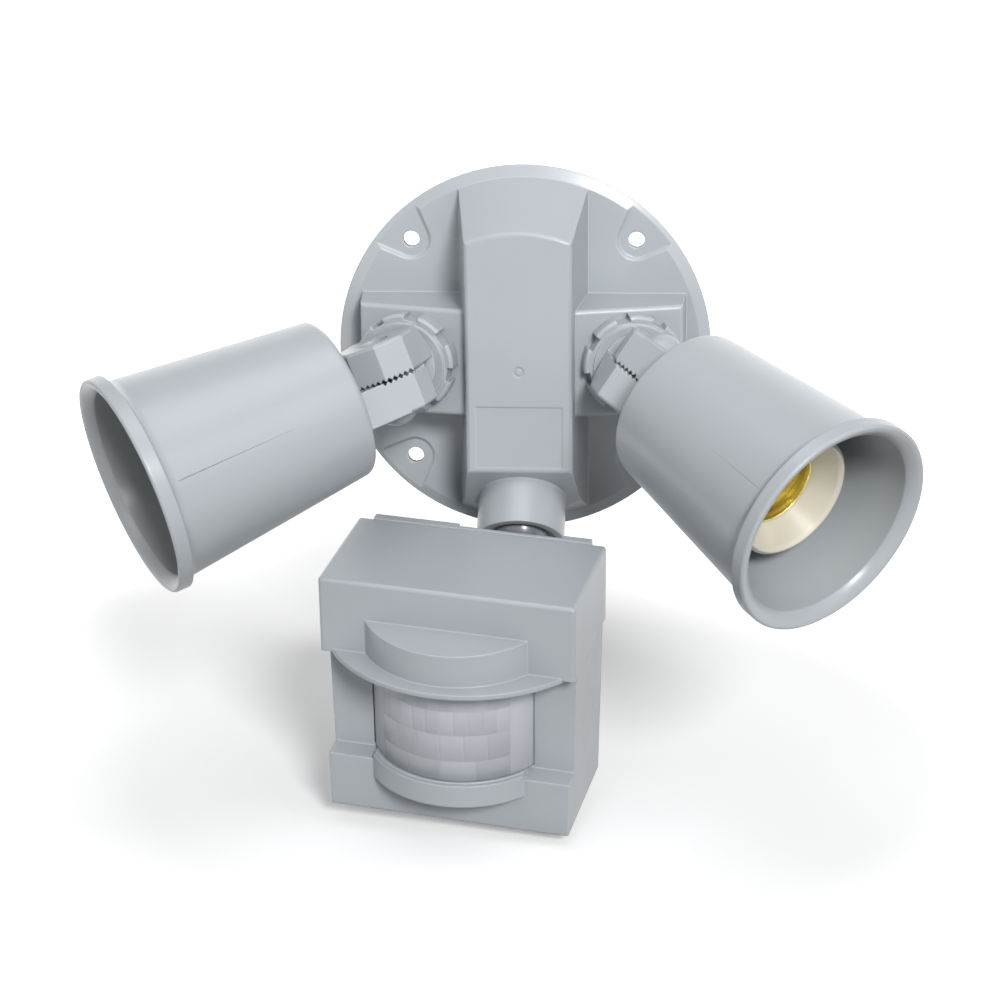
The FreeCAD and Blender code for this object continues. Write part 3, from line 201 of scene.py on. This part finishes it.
def name_piece(name):
    """Name the active object and its mesh."""
    piece = bpy.context.object
    piece.name = name
    piece.data.name = name
    return piece


def start_outline(name, first):
    """A new mesh with one selected vertex at a point, left in edit mode."""
    deselect()
    bpy.ops.mesh.primitive_plane_add(size=MM)
    piece = name_piece(name)
    bpy.ops.object.mode_set(mode="EDIT")
    bpy.ops.mesh.select_all(action="SELECT")
    bpy.ops.mesh.merge(type="CENTER")
    bpy.ops.transform.translate(value=Vector(first))
    return piece


def draw_outline(name, points):
    """A line of vertices drawn by extruding from point to point, left in edit mode."""
    piece = start_outline(name, points[0])
    for start, end in zip(points, points[1:]):
        step = Vector(end) - Vector(start)
        bpy.ops.mesh.extrude_region_move(TRANSFORM_OT_translate={"value": step})
    return piece


def merge_doubles():
    """Merge the vertices that lie on each other, in edit mode."""
    bpy.ops.mesh.select_all(action="SELECT")
    bpy.ops.mesh.remove_doubles(threshold=MERGE_DISTANCE * MM)


def apply_modifier(piece, name, kind, **values):
    """Add a modifier to the active piece with the given values, and apply it."""
    modifier = piece.modifiers.new(name, kind)
    for label, value in values.items():
        setattr(modifier, label, value)
    bpy.ops.object.modifier_apply(modifier=name)


def close_mesh():
    """Merge doubles, turn the faces outwards and leave edit mode."""
    merge_doubles()
    bpy.ops.mesh.normals_make_consistent(inside=False)
    bpy.ops.object.mode_set(mode="OBJECT")


def choose(piece):
    """Make a piece the only selected one and the active one."""
    deselect()
    piece.select_set(True)
    bpy.context.view_layer.objects.active = piece


def copy_piece(piece, name):
    """A copy of a piece with its own mesh."""
    choose(piece)
    bpy.ops.object.duplicate(linked=False)
    return name_piece(name)


def seat(piece, matrix, body, smooth=30.0):
    """Shade a finished piece, put its place into its mesh and let it ride on a body."""
    choose(piece)
    bpy.ops.object.shade_smooth_by_angle(angle=math.radians(smooth))
    piece.data.transform(matrix)
    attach(piece, body)
    return piece


# Screw shells of the lamp sockets

def select_at_height(piece, height):
    """Select the vertices at a height in millimetres, and stay in edit mode."""
    bpy.ops.object.mode_set(mode="EDIT")
    bpy.ops.mesh.select_mode(type="VERT")
    bpy.ops.mesh.select_all(action="DESELECT")
    bpy.ops.object.mode_set(mode="OBJECT")
    for vertex in piece.data.vertices:
        vertex.select = abs(vertex.co.z / MM - height) < HEIGHT_MATCH
    bpy.ops.object.mode_set(mode="EDIT")


def thread_wave(steps):
    """One pitch of a rolled thread as (radius, height) points in metres."""
    middle = (THREAD_ROOT + THREAD_CREST) / 2
    half_depth = (THREAD_ROOT - THREAD_CREST) / 2
    points = []
    for step in range(steps + 1):
        share = step / steps
        radius = middle - half_depth * math.cos(share * 2 * math.pi)
        points.append((radius * MM, 0, share * THREAD_PITCH * MM))
    return points


def make_screw_shells():
    """Two brass shells with a rolled screw thread, cut square at the top, over a plain cup."""
    turns = math.ceil((SHELL_TOP - SHELL_FOOT) / THREAD_PITCH) + 2
    piece = draw_outline("left_threaded_shell", thread_wave(THREAD_STEPS))
    bpy.ops.object.mode_set(mode="OBJECT")
    piece.data.transform(Matrix.Translation((0, 0, (SHELL_FOOT - 2 * THREAD_PITCH) * MM)))
    apply_modifier(piece, "thread", "SCREW", axis="Z", angle=2 * math.pi,
                   screw_offset=THREAD_PITCH * MM, iterations=turns + 1,
                   steps=SHELL_STEPS, render_steps=SHELL_STEPS, use_merge_vertices=True)
    bpy.ops.object.mode_set(mode="EDIT")
    merge_doubles()
    bpy.ops.mesh.bisect(plane_co=(0, 0, SHELL_TOP * MM), plane_no=(0, 0, 1), clear_outer=True)
    bpy.ops.mesh.select_all(action="SELECT")
    bpy.ops.mesh.bisect(plane_co=(0, 0, SHELL_FOOT * MM), plane_no=(0, 0, 1), clear_inner=True)
    select_at_height(piece, SHELL_FOOT)
    shrink = SHELL_CUP_RADIUS / ((THREAD_CREST + THREAD_ROOT) / 2)
    drop = (SHELL_CUP_FOOT - SHELL_FOOT) * MM
    neck = drop * SHELL_NECK_SHARE
    for scale, fall in ((shrink, neck), (1.0, drop - neck), (SHELL_CUP_HOLE / SHELL_CUP_RADIUS, 0)):
        bpy.ops.mesh.extrude_edges_move(TRANSFORM_OT_translate={"value": (0, 0, fall)})
        bpy.ops.transform.resize(value=(scale, scale, 1), center_override=(0, 0, 0))
    bpy.ops.mesh.select_all(action="SELECT")
    bpy.ops.mesh.normals_make_consistent(inside=False)
    bpy.ops.object.mode_set(mode="OBJECT")
    apply_modifier(piece, "wall", "SOLIDIFY", thickness=SHELL_WALL * MM, offset=0)
    other = copy_piece(piece, "right_threaded_shell")
    shells = []
    for side, shell in (("left", piece), ("right", other)):
        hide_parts(side + "_screw_shell")
        shells.append(seat(shell, lamp_matrix(side), side + "_lamp", 40.0))
    return shells


# Fine parting ridges that the mould left along the lampholder bells

def make_parting_ridges():
    """A low ridge along each side of each bell, fading towards the knuckle."""
    slope = (BARREL_END_RADIUS - BARREL_START_RADIUS) / (BARREL_END - BARREL_START)
    radius = BARREL_START_RADIUS + slope * (RIDGE_END - BARREL_START)
    foot = radius + RIDGE_FOOT
    section = [(-RIDGE_HALF_WIDTH, foot), (0.0, radius + RIDGE_RISE),
               (RIDGE_HALF_WIDTH, foot), (-RIDGE_HALF_WIDTH, foot)]
    ridge = draw_outline("left_parting_ridge",
                         [(x * MM, y * MM, RIDGE_END * MM) for x, y in section])
    merge_doubles()
    bpy.ops.mesh.select_all(action="SELECT")
    bpy.ops.mesh.edge_face_add()
    along = (RIDGE_START - RIDGE_END) / RIDGE_STEPS
    step = Vector((0, slope * along, along)) * MM
    middle = Vector((0, foot, RIDGE_END)) * MM
    for _ in range(RIDGE_STEPS):
        middle += step
        bpy.ops.mesh.extrude_region_move(TRANSFORM_OT_translate={"value": step})
        bpy.ops.transform.resize(value=(RIDGE_TAPER, RIDGE_TAPER, 1), center_override=middle)
    close_mesh()
    names = ("left_parting_ridge_back", "right_parting_ridge", "right_parting_ridge_back")
    ridges = [ridge] + [copy_piece(ridge, name) for name in names]
    for place, piece in enumerate(ridges):
        side = "left" if place < 2 else "right"
        turn = Matrix.Rotation(math.pi * (place % 2), 4, "Z")
        sink = RIGHT_RIDGE_SINK * MM if side == "right" else 0
        matrix = lamp_matrix(side) @ turn @ Matrix.Translation((0, -sink, 0))
        seat(piece, matrix, side + "_lamp", 20.0)
    return ridges


# Sensor lens

def lens_matrix():
    """Frame of the lens: origin on the middle of its curve, level with the hood's top."""
    return sensor_matrix() @ Matrix.Translation((0, -LENS_CENTRE * MM, 0))


def spin_outline(half_angle, steps):
    """Spin the drawn outline about the lens's middle and leave the whole mesh selected."""
    bpy.ops.mesh.select_all(action="SELECT")
    bpy.ops.mesh.spin(steps=steps, angle=math.radians(2 * half_angle),
                      center=(0, 0, 0), axis=(0, 0, 1))
    merge_doubles()
    bpy.ops.mesh.select_all(action="SELECT")


def outline_at(half_angle, profile):
    """Points of a (radius, height) profile at the right-hand end of an arc."""
    start = math.radians(-90 + half_angle)
    return [(radius * MM * math.cos(start), radius * MM * math.sin(start), z * MM)
            for radius, z in profile]


def make_lens():
    """Milky lens sheet with rows of shallow cells between plain borders."""
    heights = [LENS_TOP]
    for top, foot, _ in LENS_ROWS:
        heights += [top, (top + foot) / 2]
    heights += [LENS_ROWS[-1][1], LENS_FOOT]
    profile = [(LENS_RADIUS, z) for z in heights]
    piece = draw_outline("lens_sheet", outline_at(LENS_HALF_ANGLE, profile))
    spin_outline(LENS_HALF_ANGLE, LENS_STEPS)
    close_mesh()
    for top, foot, cells in LENS_ROWS:
        width = 2 * CELLS_HALF_ANGLE / cells
        for cell in range(cells):
            low = -90 - CELLS_HALF_ANGLE + cell * width
            bpy.ops.object.mode_set(mode="EDIT")
            bpy.ops.mesh.select_all(action="DESELECT")
            bpy.ops.object.mode_set(mode="OBJECT")
            for face in piece.data.polygons:
                angle = math.degrees(math.atan2(face.center.y, face.center.x))
                level = face.center.z / MM
                face.select = low < angle < low + width and foot < level < top
            bpy.ops.object.mode_set(mode="EDIT")
            bpy.ops.mesh.select_mode(type="FACE")
            bpy.ops.mesh.inset(thickness=CELL_BORDER * MM, depth=CELL_DEPTH * MM)
            bpy.ops.mesh.select_mode(type="VERT")
    bpy.ops.object.mode_set(mode="OBJECT")
    apply_modifier(piece, "wall", "SOLIDIFY", thickness=LENS_THICK * MM, offset=-1)
    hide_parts("sensor_lens")
    return seat(piece, lens_matrix(), "sensor", 30.0)


def make_lip_bead():
    """Fine bead on the top of the lower lip, just in front of the lens."""
    profile = [(radius, BEAD_FOOT + rise) for radius, rise in BEAD_PROFILE]
    piece = draw_outline("lip_bead", outline_at(BEAD_HALF_ANGLE, profile))
    spin_outline(BEAD_HALF_ANGLE, BEAD_STEPS)
    bpy.ops.mesh.fill_holes(sides=0)
    close_mesh()
    return seat(piece, lens_matrix(), "sensor", 40.0)


# Materials

def new_group(name, inputs, outputs):
    """An empty shader node group with its sockets, and its input and output nodes."""
    group = bpy.data.node_groups.new(name, "ShaderNodeTree")
    for label, kind, value in inputs:
        socket = group.interface.new_socket(name=label, in_out="INPUT", socket_type=kind)
        socket.default_value = value
    for label, kind in outputs:
        group.interface.new_socket(name=label, in_out="OUTPUT", socket_type=kind)
    entry = group.nodes.new("NodeGroupInput")
    leave = group.nodes.new("NodeGroupOutput")
    return group, entry, leave


def feed(tree, value, socket):
    """Set an input socket to a number or a colour, or link it to an output socket."""
    if isinstance(value, (int, float, tuple)):
        socket.default_value = value
    else:
        tree.links.new(value, socket)


def math_node(tree, operation, first, second=0.0, clamp=False):
    """A math node fed by one or two sockets or numbers."""
    node = tree.nodes.new("ShaderNodeMath")
    node.operation = operation
    node.use_clamp = clamp
    feed(tree, first, node.inputs[0])
    feed(tree, second, node.inputs[1])
    return node.outputs[0]


def scaled_vector(tree, vector, factor):
    """A vector or colour times a number."""
    node = tree.nodes.new("ShaderNodeVectorMath")
    node.operation = "SCALE"
    feed(tree, vector, node.inputs[0])
    feed(tree, factor, node.inputs["Scale"])
    return node.outputs["Vector"]


def mix_colour(tree, factor, first, second):
    """A colour mix fed by sockets or values."""
    node = tree.nodes.new("ShaderNodeMix")
    node.data_type = "RGBA"
    for name, value in (("Factor_Float", factor), ("A_Color", first), ("B_Color", second)):
        feed(tree, value, next(item for item in node.inputs if item.identifier == name))
    return next(item for item in node.outputs if item.identifier == "Result_Color")


def noise(tree, coordinates, scale, detail):
    """A noise texture on object coordinates."""
    node = tree.nodes.new("ShaderNodeTexNoise")
    node.inputs["Scale"].default_value = scale
    node.inputs["Detail"].default_value = detail
    node.inputs["Roughness"].default_value = 0.5
    tree.links.new(coordinates, node.inputs["Vector"])
    return node.outputs["Fac"]


def swing(tree, value, middle, reach):
    """The distance of a value from a middle, times a reach."""
    return math_node(tree, "MULTIPLY", math_node(tree, "SUBTRACT", value, middle), reach)


def build_moulded_surface():
    """Group: rounded edges, grain, mottling, a painted highlight along the edges and painted shade darkening the
    creases of moulded plastic.
    """
    group, entry, leave = new_group(
        "moulded_surface",
        [("Colour", "NodeSocketColor", (0.5, 0.5, 0.5, 1)),
         ("Edge Highlight Colour", "NodeSocketColor", (0.7, 0.7, 0.7, 1)),
         ("Edge Highlight Amount", "NodeSocketFloat", 0.4), ("Roughness", "NodeSocketFloat", 0.4),
         ("Grain", "NodeSocketFloat", 0.1), ("Mottle", "NodeSocketFloat", 0.05),
         ("Crease Shade", "NodeSocketFloat", 0.4)],
        [("Colour", "NodeSocketColor"), ("Roughness", "NodeSocketFloat"),
         ("Normal", "NodeSocketVector")])
    links = group.links
    place = group.nodes.new("ShaderNodeTexCoord").outputs["Object"]

    # Edges: where the rounded normal turns away from the flat one; this mask paints a highlight along them
    rounding = group.nodes.new("ShaderNodeBevel")
    rounding.samples = EDGE_SAMPLES
    rounding.inputs["Radius"].default_value = EDGE_ROUNDING * MM
    geometry = group.nodes.new("ShaderNodeNewGeometry")
    dot = group.nodes.new("ShaderNodeVectorMath")
    dot.operation = "DOT_PRODUCT"
    links.new(rounding.outputs["Normal"], dot.inputs[0])
    links.new(geometry.outputs["Normal"], dot.inputs[1])
    turn = math_node(group, "SUBTRACT", 1.0, dot.outputs["Value"], clamp=True)
    edge_highlight = math_node(group, "MULTIPLY", turn, EDGE_HIGHLIGHT_GAIN, clamp=True)
    edge_highlight = math_node(group, "MULTIPLY", edge_highlight, entry.outputs["Edge Highlight Amount"])

    # Colour: slow mottling, painted shade that darkens the creases, then the painted highlight along the edges
    mottle = swing(group, noise(group, place, MOTTLE_SCALE, 4.0), 0.5, entry.outputs["Mottle"])
    # Painted shade: ambient occlusion darkens the colour in creases, recesses and between parts
    crease_shade = group.nodes.new("ShaderNodeAmbientOcclusion")
    crease_shade.samples = CREASE_SHADE_SAMPLES
    crease_shade.inputs["Distance"].default_value = CREASE_SHADE_REACH * MM
    depth = swing(group, crease_shade.outputs["AO"], 1.0, entry.outputs["Crease Shade"])
    value = math_node(group, "MULTIPLY", math_node(group, "ADD", mottle, 1.0),
                      math_node(group, "ADD", depth, 1.0))
    shade = scaled_vector(group, entry.outputs["Colour"], value)
    # Painted highlight: the rounded edges are mixed towards the lighter edge colour
    colour = mix_colour(group, edge_highlight, shade, entry.outputs["Edge Highlight Colour"])
    links.new(colour, leave.inputs["Colour"])

    # Gloss that varies a little from place to place
    patch = swing(group, noise(group, place, PATCH_SCALE, 3.0), 0.5, PATCH_DEPTH)
    roughness = math_node(group, "ADD", entry.outputs["Roughness"], patch)
    links.new(roughness, leave.inputs["Roughness"])

    # Fine grain over slow waves
    grain = noise(group, place, GRAIN_SCALE, 2.0)
    waves = math_node(group, "MULTIPLY", noise(group, place, WAVE_SCALE, 2.0), WAVE_SHARE)
    bump = group.nodes.new("ShaderNodeBump")
    bump.inputs["Distance"].default_value = GRAIN_HEIGHT * MM
    links.new(entry.outputs["Grain"], bump.inputs["Strength"])
    links.new(math_node(group, "ADD", grain, waves), bump.inputs["Height"])
    links.new(rounding.outputs["Normal"], bump.inputs["Normal"])
    links.new(bump.outputs["Normal"], leave.inputs["Normal"])
    return group


MOULDED = build_moulded_surface()


def new_material(name):
    """A material with its Principled shader."""
    material = bpy.data.materials.new(name)
    material.use_nodes = True
    shader = material.node_tree.nodes["Principled BSDF"]
    return material, shader


def moulded_material(name, colour, edge_highlight, roughness, edge_highlight_amount=0.4, grain=0.12, mottle=0.06,
                     crease_shade=0.22, coat=0.0, specular=0.5):
    """Moulded plastic, rubber or ceramic with its own values of the shared surface."""
    material, shader = new_material(name)
    tree = material.node_tree
    surface = tree.nodes.new("ShaderNodeGroup")
    surface.node_tree = MOULDED
    # Edge colour and amount set a painted highlight along the edges; the crease value sets painted shade in the
    # creases
    values = {"Colour": (*colour, 1), "Edge Highlight Colour": (*edge_highlight, 1), "Edge Highlight Amount": edge_highlight_amount,
              "Roughness": roughness, "Grain": grain, "Mottle": mottle, "Crease Shade": crease_shade}
    for label, value in values.items():
        surface.inputs[label].default_value = value
    tree.links.new(surface.outputs["Colour"], shader.inputs["Base Color"])
    tree.links.new(surface.outputs["Roughness"], shader.inputs["Roughness"])
    tree.links.new(surface.outputs["Normal"], shader.inputs["Normal"])
    shader.inputs["Specular IOR Level"].default_value = specular
    shader.inputs["Coat Weight"].default_value = coat
    shader.inputs["Coat Roughness"].default_value = 0.15
    return material


def metal_material(name, colour, edge_highlight, roughness):
    """Bare metal with the shared surface, its painted edge highlight included, and no painted crease shade."""
    material = moulded_material(name, colour, edge_highlight, roughness, edge_highlight_amount=0.3, grain=0.2,
                                mottle=0.12, crease_shade=0.0)
    material.node_tree.nodes["Principled BSDF"].inputs["Metallic"].default_value = 1.0
    return material


def build_lens_cells():
    """Group: a value of its own for each cell of the lens, with painted light that makes it lighter upwards, from
    the lens's own frame.
    """
    group, entry, leave = new_group("lens_cells", [("Amount", "NodeSocketFloat", 0.2)],
                                    [("Shade", "NodeSocketFloat")])
    place = group.nodes.new("ShaderNodeTexCoord").outputs["Object"]
    local = group.nodes.new("ShaderNodeMapping")
    local.vector_type = "TEXTURE"
    matrix = lens_matrix()
    local.inputs["Location"].default_value = matrix.to_translation()
    local.inputs["Rotation"].default_value = matrix.to_euler("XYZ")
    group.links.new(place, local.inputs["Vector"])
    split = group.nodes.new("ShaderNodeSeparateXYZ")
    group.links.new(local.outputs["Vector"], split.inputs["Vector"])

    # Which row and cell a place is in, counted from the left-hand edge of the cells
    outward = math_node(group, "MULTIPLY", split.outputs["Y"], -1.0)
    angle = math_node(group, "ARCTAN2", split.outputs["X"], outward)
    angle = math_node(group, "MULTIPLY", angle, 180 / math.pi)
    angle = math_node(group, "ADD", angle, CELLS_HALF_ANGLE)
    widths = [2 * CELLS_HALF_ANGLE / cells for _, _, cells in LENS_ROWS]
    width = widths[0]
    row = 0.0
    for (top, _, _), above, below in zip(LENS_ROWS[1:], widths, widths[1:]):
        under = math_node(group, "LESS_THAN", split.outputs["Z"], top * MM)
        wider = math_node(group, "MULTIPLY", under, below - above)
        width = math_node(group, "ADD", wider, width)
        row = math_node(group, "ADD", row, under)
    cell = math_node(group, "FLOOR", math_node(group, "DIVIDE", angle, width))
    pair = group.nodes.new("ShaderNodeCombineXYZ")
    group.links.new(cell, pair.inputs["X"])
    group.links.new(row, pair.inputs["Y"])
    chance = group.nodes.new("ShaderNodeTexWhiteNoise")
    group.links.new(pair.outputs["Vector"], chance.inputs["Vector"])
    middle = math_node(group, "SUBTRACT", angle, CELLS_HALF_ANGLE)
    distance = math_node(group, "ABSOLUTE", middle)
    inside = math_node(group, "LESS_THAN", distance, CELLS_HALF_ANGLE)

    # Shade: a chance of its own inside each cell, painted light that makes the lens lighter upwards, with a slight
    # blur
    value = swing(group, chance.outputs["Value"], CELL_DIMMING, inside)
    painted_top_light = swing(group, split.outputs["Z"], LENS_MIDDLE * MM, 1 / (LENS_FADE * MM))
    blur = swing(group, noise(group, place, CELL_BLUR_SCALE, 2.0), 0.5, CELL_BLUR)
    value = math_node(group, "ADD", math_node(group, "ADD", value, painted_top_light), blur)
    value = math_node(group, "MULTIPLY", value, entry.outputs["Amount"])
    group.links.new(math_node(group, "ADD", value, 1.0), leave.inputs["Shade"])
    return group


def lens_material():
    """Milky polythene that lets a blurred light through, a little uneven from cell to cell."""
    material = moulded_material("milky_lens", (0.63, 0.655, 0.70), (0.9, 0.93, 0.97), 0.3,
                                edge_highlight_amount=0.25, grain=0.08, mottle=0.04)
    tree = material.node_tree
    shader = tree.nodes["Principled BSDF"]
    surface = next(node for node in tree.nodes if node.type == "GROUP")
    cells = tree.nodes.new("ShaderNodeGroup")
    cells.node_tree = build_lens_cells()
    cells.inputs["Amount"].default_value = 0.15
    tint = scaled_vector(tree, surface.outputs["Colour"], cells.outputs["Shade"])
    tree.links.new(tint, shader.inputs["Base Color"])
    shader.inputs["Transmission Weight"].default_value = 0.25
    shader.inputs["IOR"].default_value = 1.5
    return material


# Each material's second colour is the painted highlight along its edges
GREY = moulded_material("grey_plastic", (0.42, 0.45, 0.476), (0.80, 0.83, 0.86), 0.31,
                        edge_highlight_amount=0.6, coat=0.06, specular=0.45)
DARK = moulded_material("dark_plastic", (0.21, 0.22, 0.24), (0.42, 0.44, 0.46), 0.24)
LENS = lens_material()
PORCELAIN = moulded_material("porcelain", (0.63, 0.59, 0.49), (0.85, 0.82, 0.76), 0.3,
                             edge_highlight_amount=0.3, grain=0.3, mottle=0.10, crease_shade=0.4, coat=0.5)
BRASS = metal_material("brass", (1.0, 0.87, 0.37), (1.0, 0.93, 0.6), 0.24)
STEEL = metal_material("steel", (0.40, 0.41, 0.42), (0.6, 0.6, 0.61), 0.38)
RUBBER = moulded_material("gasket_foam", (0.03, 0.03, 0.032), (0.06, 0.06, 0.06), 0.85,
                          edge_highlight_amount=0.2, grain=0.5)
BOARD = moulded_material("board_green", (0.03, 0.16, 0.06), (0.1, 0.3, 0.14), 0.4)
RELAY = moulded_material("relay_case", (0.04, 0.08, 0.28), (0.1, 0.16, 0.4), 0.3)
ALUMINIUM = metal_material("capacitor_can", (0.72, 0.73, 0.75), (0.85, 0.85, 0.86), 0.3)
SLOT_MATERIALS = {
    "grey_plastic": GREY, "dark_plastic": DARK, "lens_plastic": LENS, "porcelain": PORCELAIN,
    "brass": BRASS, "steel": STEEL, "gasket_rubber": RUBBER, "board": BOARD,
    "relay_case": RELAY, "capacitor_can": ALUMINIUM,
}


def paint(piece, material):
    """Give a piece one material in place of what it had."""
    piece.data.materials.clear()
    piece.data.materials.append(material)


def paint_nodes():
    """Give every carried-over part the material of its slot."""
    slots = {part["node"]: part["material_slot"] for part in frame["record"]["subparts"]}
    for name, node in nodes.items():
        paint(node, SLOT_MATERIALS[slots[name]])


# Studio: camera, lights, white surroundings and a pale floor

def make_camera():
    """Camera at the photograph's place and angle."""
    data = bpy.data.cameras.new("camera")
    data.sensor_width = SENSOR_WIDTH
    data.lens = FOCAL_PIXELS * SENSOR_WIDTH / PICTURE_WIDTH
    data.clip_start = 0.01
    data.clip_end = 50.0
    camera = bpy.data.objects.new("camera", data)
    bpy.context.scene.collection.objects.link(camera)
    right = CAMERA_RIGHT.normalized()
    back = right.cross(CAMERA_UP).normalized()
    up = back.cross(right)
    turn = Matrix((right, up, back)).transposed().to_4x4()
    camera.matrix_world = Matrix.Translation(CAMERA_PLACE) @ turn
    bpy.context.scene.camera = camera


def rays_that_see(tree, path):
    """1 for the camera's rays and for those that metal, gloss and the lens send on."""
    seen = math_node(tree, "MAXIMUM", path.outputs["Is Camera Ray"], path.outputs["Is Glossy Ray"])
    return math_node(tree, "MAXIMUM", seen, path.outputs["Is Transmission Ray"])


def make_world():
    """White to the camera and to reflections, plain soft light otherwise."""
    world = bpy.data.worlds.new("studio")
    bpy.context.scene.world = world
    world.use_nodes = True
    tree = world.node_tree
    tree.nodes.clear()
    output = tree.nodes.new("ShaderNodeOutputWorld")
    seen = tree.nodes.new("ShaderNodeBackground")
    seen.inputs["Color"].default_value = (1, 1, 1, 1)
    light = tree.nodes.new("ShaderNodeBackground")
    light.inputs["Strength"].default_value = WORLD_LIGHT
    light.inputs["Color"].default_value = WORLD_COLOUR
    path = tree.nodes.new("ShaderNodeLightPath")
    mix = tree.nodes.new("ShaderNodeMixShader")
    tree.links.new(rays_that_see(tree, path), mix.inputs["Fac"])
    tree.links.new(light.outputs[0], mix.inputs[1])
    tree.links.new(seen.outputs[0], mix.inputs[2])
    tree.links.new(mix.outputs[0], output.inputs["Surface"])


def make_floor():
    """Plain pale floor, white to the camera except in the shadow, and clear from below."""
    deselect()
    low = cad_low.z - FLOOR_DROP
    bpy.ops.mesh.primitive_plane_add(size=FLOOR_SIZE, location=(0, 0, low))
    floor = name_piece("floor")
    material = bpy.data.materials.new("pale_floor")
    material.use_nodes = True
    tree = material.node_tree
    tree.nodes.clear()
    output = tree.nodes.new("ShaderNodeOutputMaterial")
    paper = tree.nodes.new("ShaderNodeBsdfDiffuse")
    place = tree.nodes.new("ShaderNodeTexCoord").outputs["Object"]
    length = tree.nodes.new("ShaderNodeVectorMath")
    length.operation = "LENGTH"
    tree.links.new(place, length.inputs[0])
    away = tree.nodes.new("ShaderNodeMapRange")
    away.inputs["From Min"].default_value = GLOW_START
    away.inputs["From Max"].default_value = GLOW_END
    away.inputs["To Min"].default_value = FLOOR_GLOW
    away.inputs["To Max"].default_value = 1.0
    tree.links.new(length.outputs["Value"], away.inputs["Value"])
    seen = rays_that_see(tree, tree.nodes.new("ShaderNodeLightPath"))
    pale = math_node(tree, "MULTIPLY", seen, PAPER_SEEN - PAPER_BOUNCE)
    tree.links.new(math_node(tree, "ADD", pale, PAPER_BOUNCE), paper.inputs["Color"])
    glow = tree.nodes.new("ShaderNodeEmission")
    strength = math_node(tree, "MULTIPLY", seen, away.outputs["Result"])
    tree.links.new(strength, glow.inputs["Strength"])
    both = tree.nodes.new("ShaderNodeAddShader")
    tree.links.new(paper.outputs[0], both.inputs[0])
    tree.links.new(glow.outputs[0], both.inputs[1])
    clear = tree.nodes.new("ShaderNodeBsdfTransparent")
    sides = tree.nodes.new("ShaderNodeMixShader")
    geometry = tree.nodes.new("ShaderNodeNewGeometry")
    tree.links.new(geometry.outputs["Backfacing"], sides.inputs["Fac"])
    tree.links.new(both.outputs[0], sides.inputs[1])
    tree.links.new(clear.outputs[0], sides.inputs[2])
    tree.links.new(sides.outputs[0], output.inputs["Surface"])
    floor.data.materials.append(material)


def place_light(data, towards):
    """A light object that shines towards a direction."""
    light = bpy.data.objects.new(data.name, data)
    bpy.context.scene.collection.objects.link(light)
    light.rotation_mode = "QUATERNION"
    light.rotation_quaternion = towards.to_track_quat("-Z", "Y")
    return light


def make_area_light(name, place, size, power):
    """A square soft light that faces the object."""
    data = bpy.data.lights.new(name, "AREA")
    data.size = size
    data.energy = power
    light = place_light(data, Vector(LIGHT_TARGET) - Vector(place))
    light.location = place


def make_sun(name, around, above, strength, spread):
    """A soft light from far away, so many degrees right of the front and above level."""
    data = bpy.data.lights.new(name, "SUN")
    data.energy = strength
    data.angle = math.radians(spread)
    around, above = math.radians(around), math.radians(above)
    level = math.cos(above)
    towards = (-math.sin(around) * level, math.cos(around) * level, -math.sin(above))
    place_light(data, Vector(towards))


def make_lights():
    """Plain studio light: a key from the upper right in front, soft lights and fills."""
    make_sun("key", around=20, above=29, strength=2.5, spread=14)
    make_sun("left_fill", around=-58, above=12, strength=0.45, spread=30)
    make_sun("back_fill", around=180, above=12, strength=0.65, spread=60)
    make_area_light("overhead", (0, -0.16, 0.48), size=0.35, power=0.8)
    make_area_light("right_front", (0.5, -0.5, 0.3), size=0.5, power=0.95)


paint_nodes()
for shell in make_screw_shells():
    paint(shell, BRASS)
for ridge in make_parting_ridges():
    paint(ridge, GREY)
paint(make_lens(), LENS)
paint(make_lip_bead(), GREY)
make_camera()
make_world()
make_lights()
make_floor()
bpy.context.scene.view_settings.view_transform = "Standard"
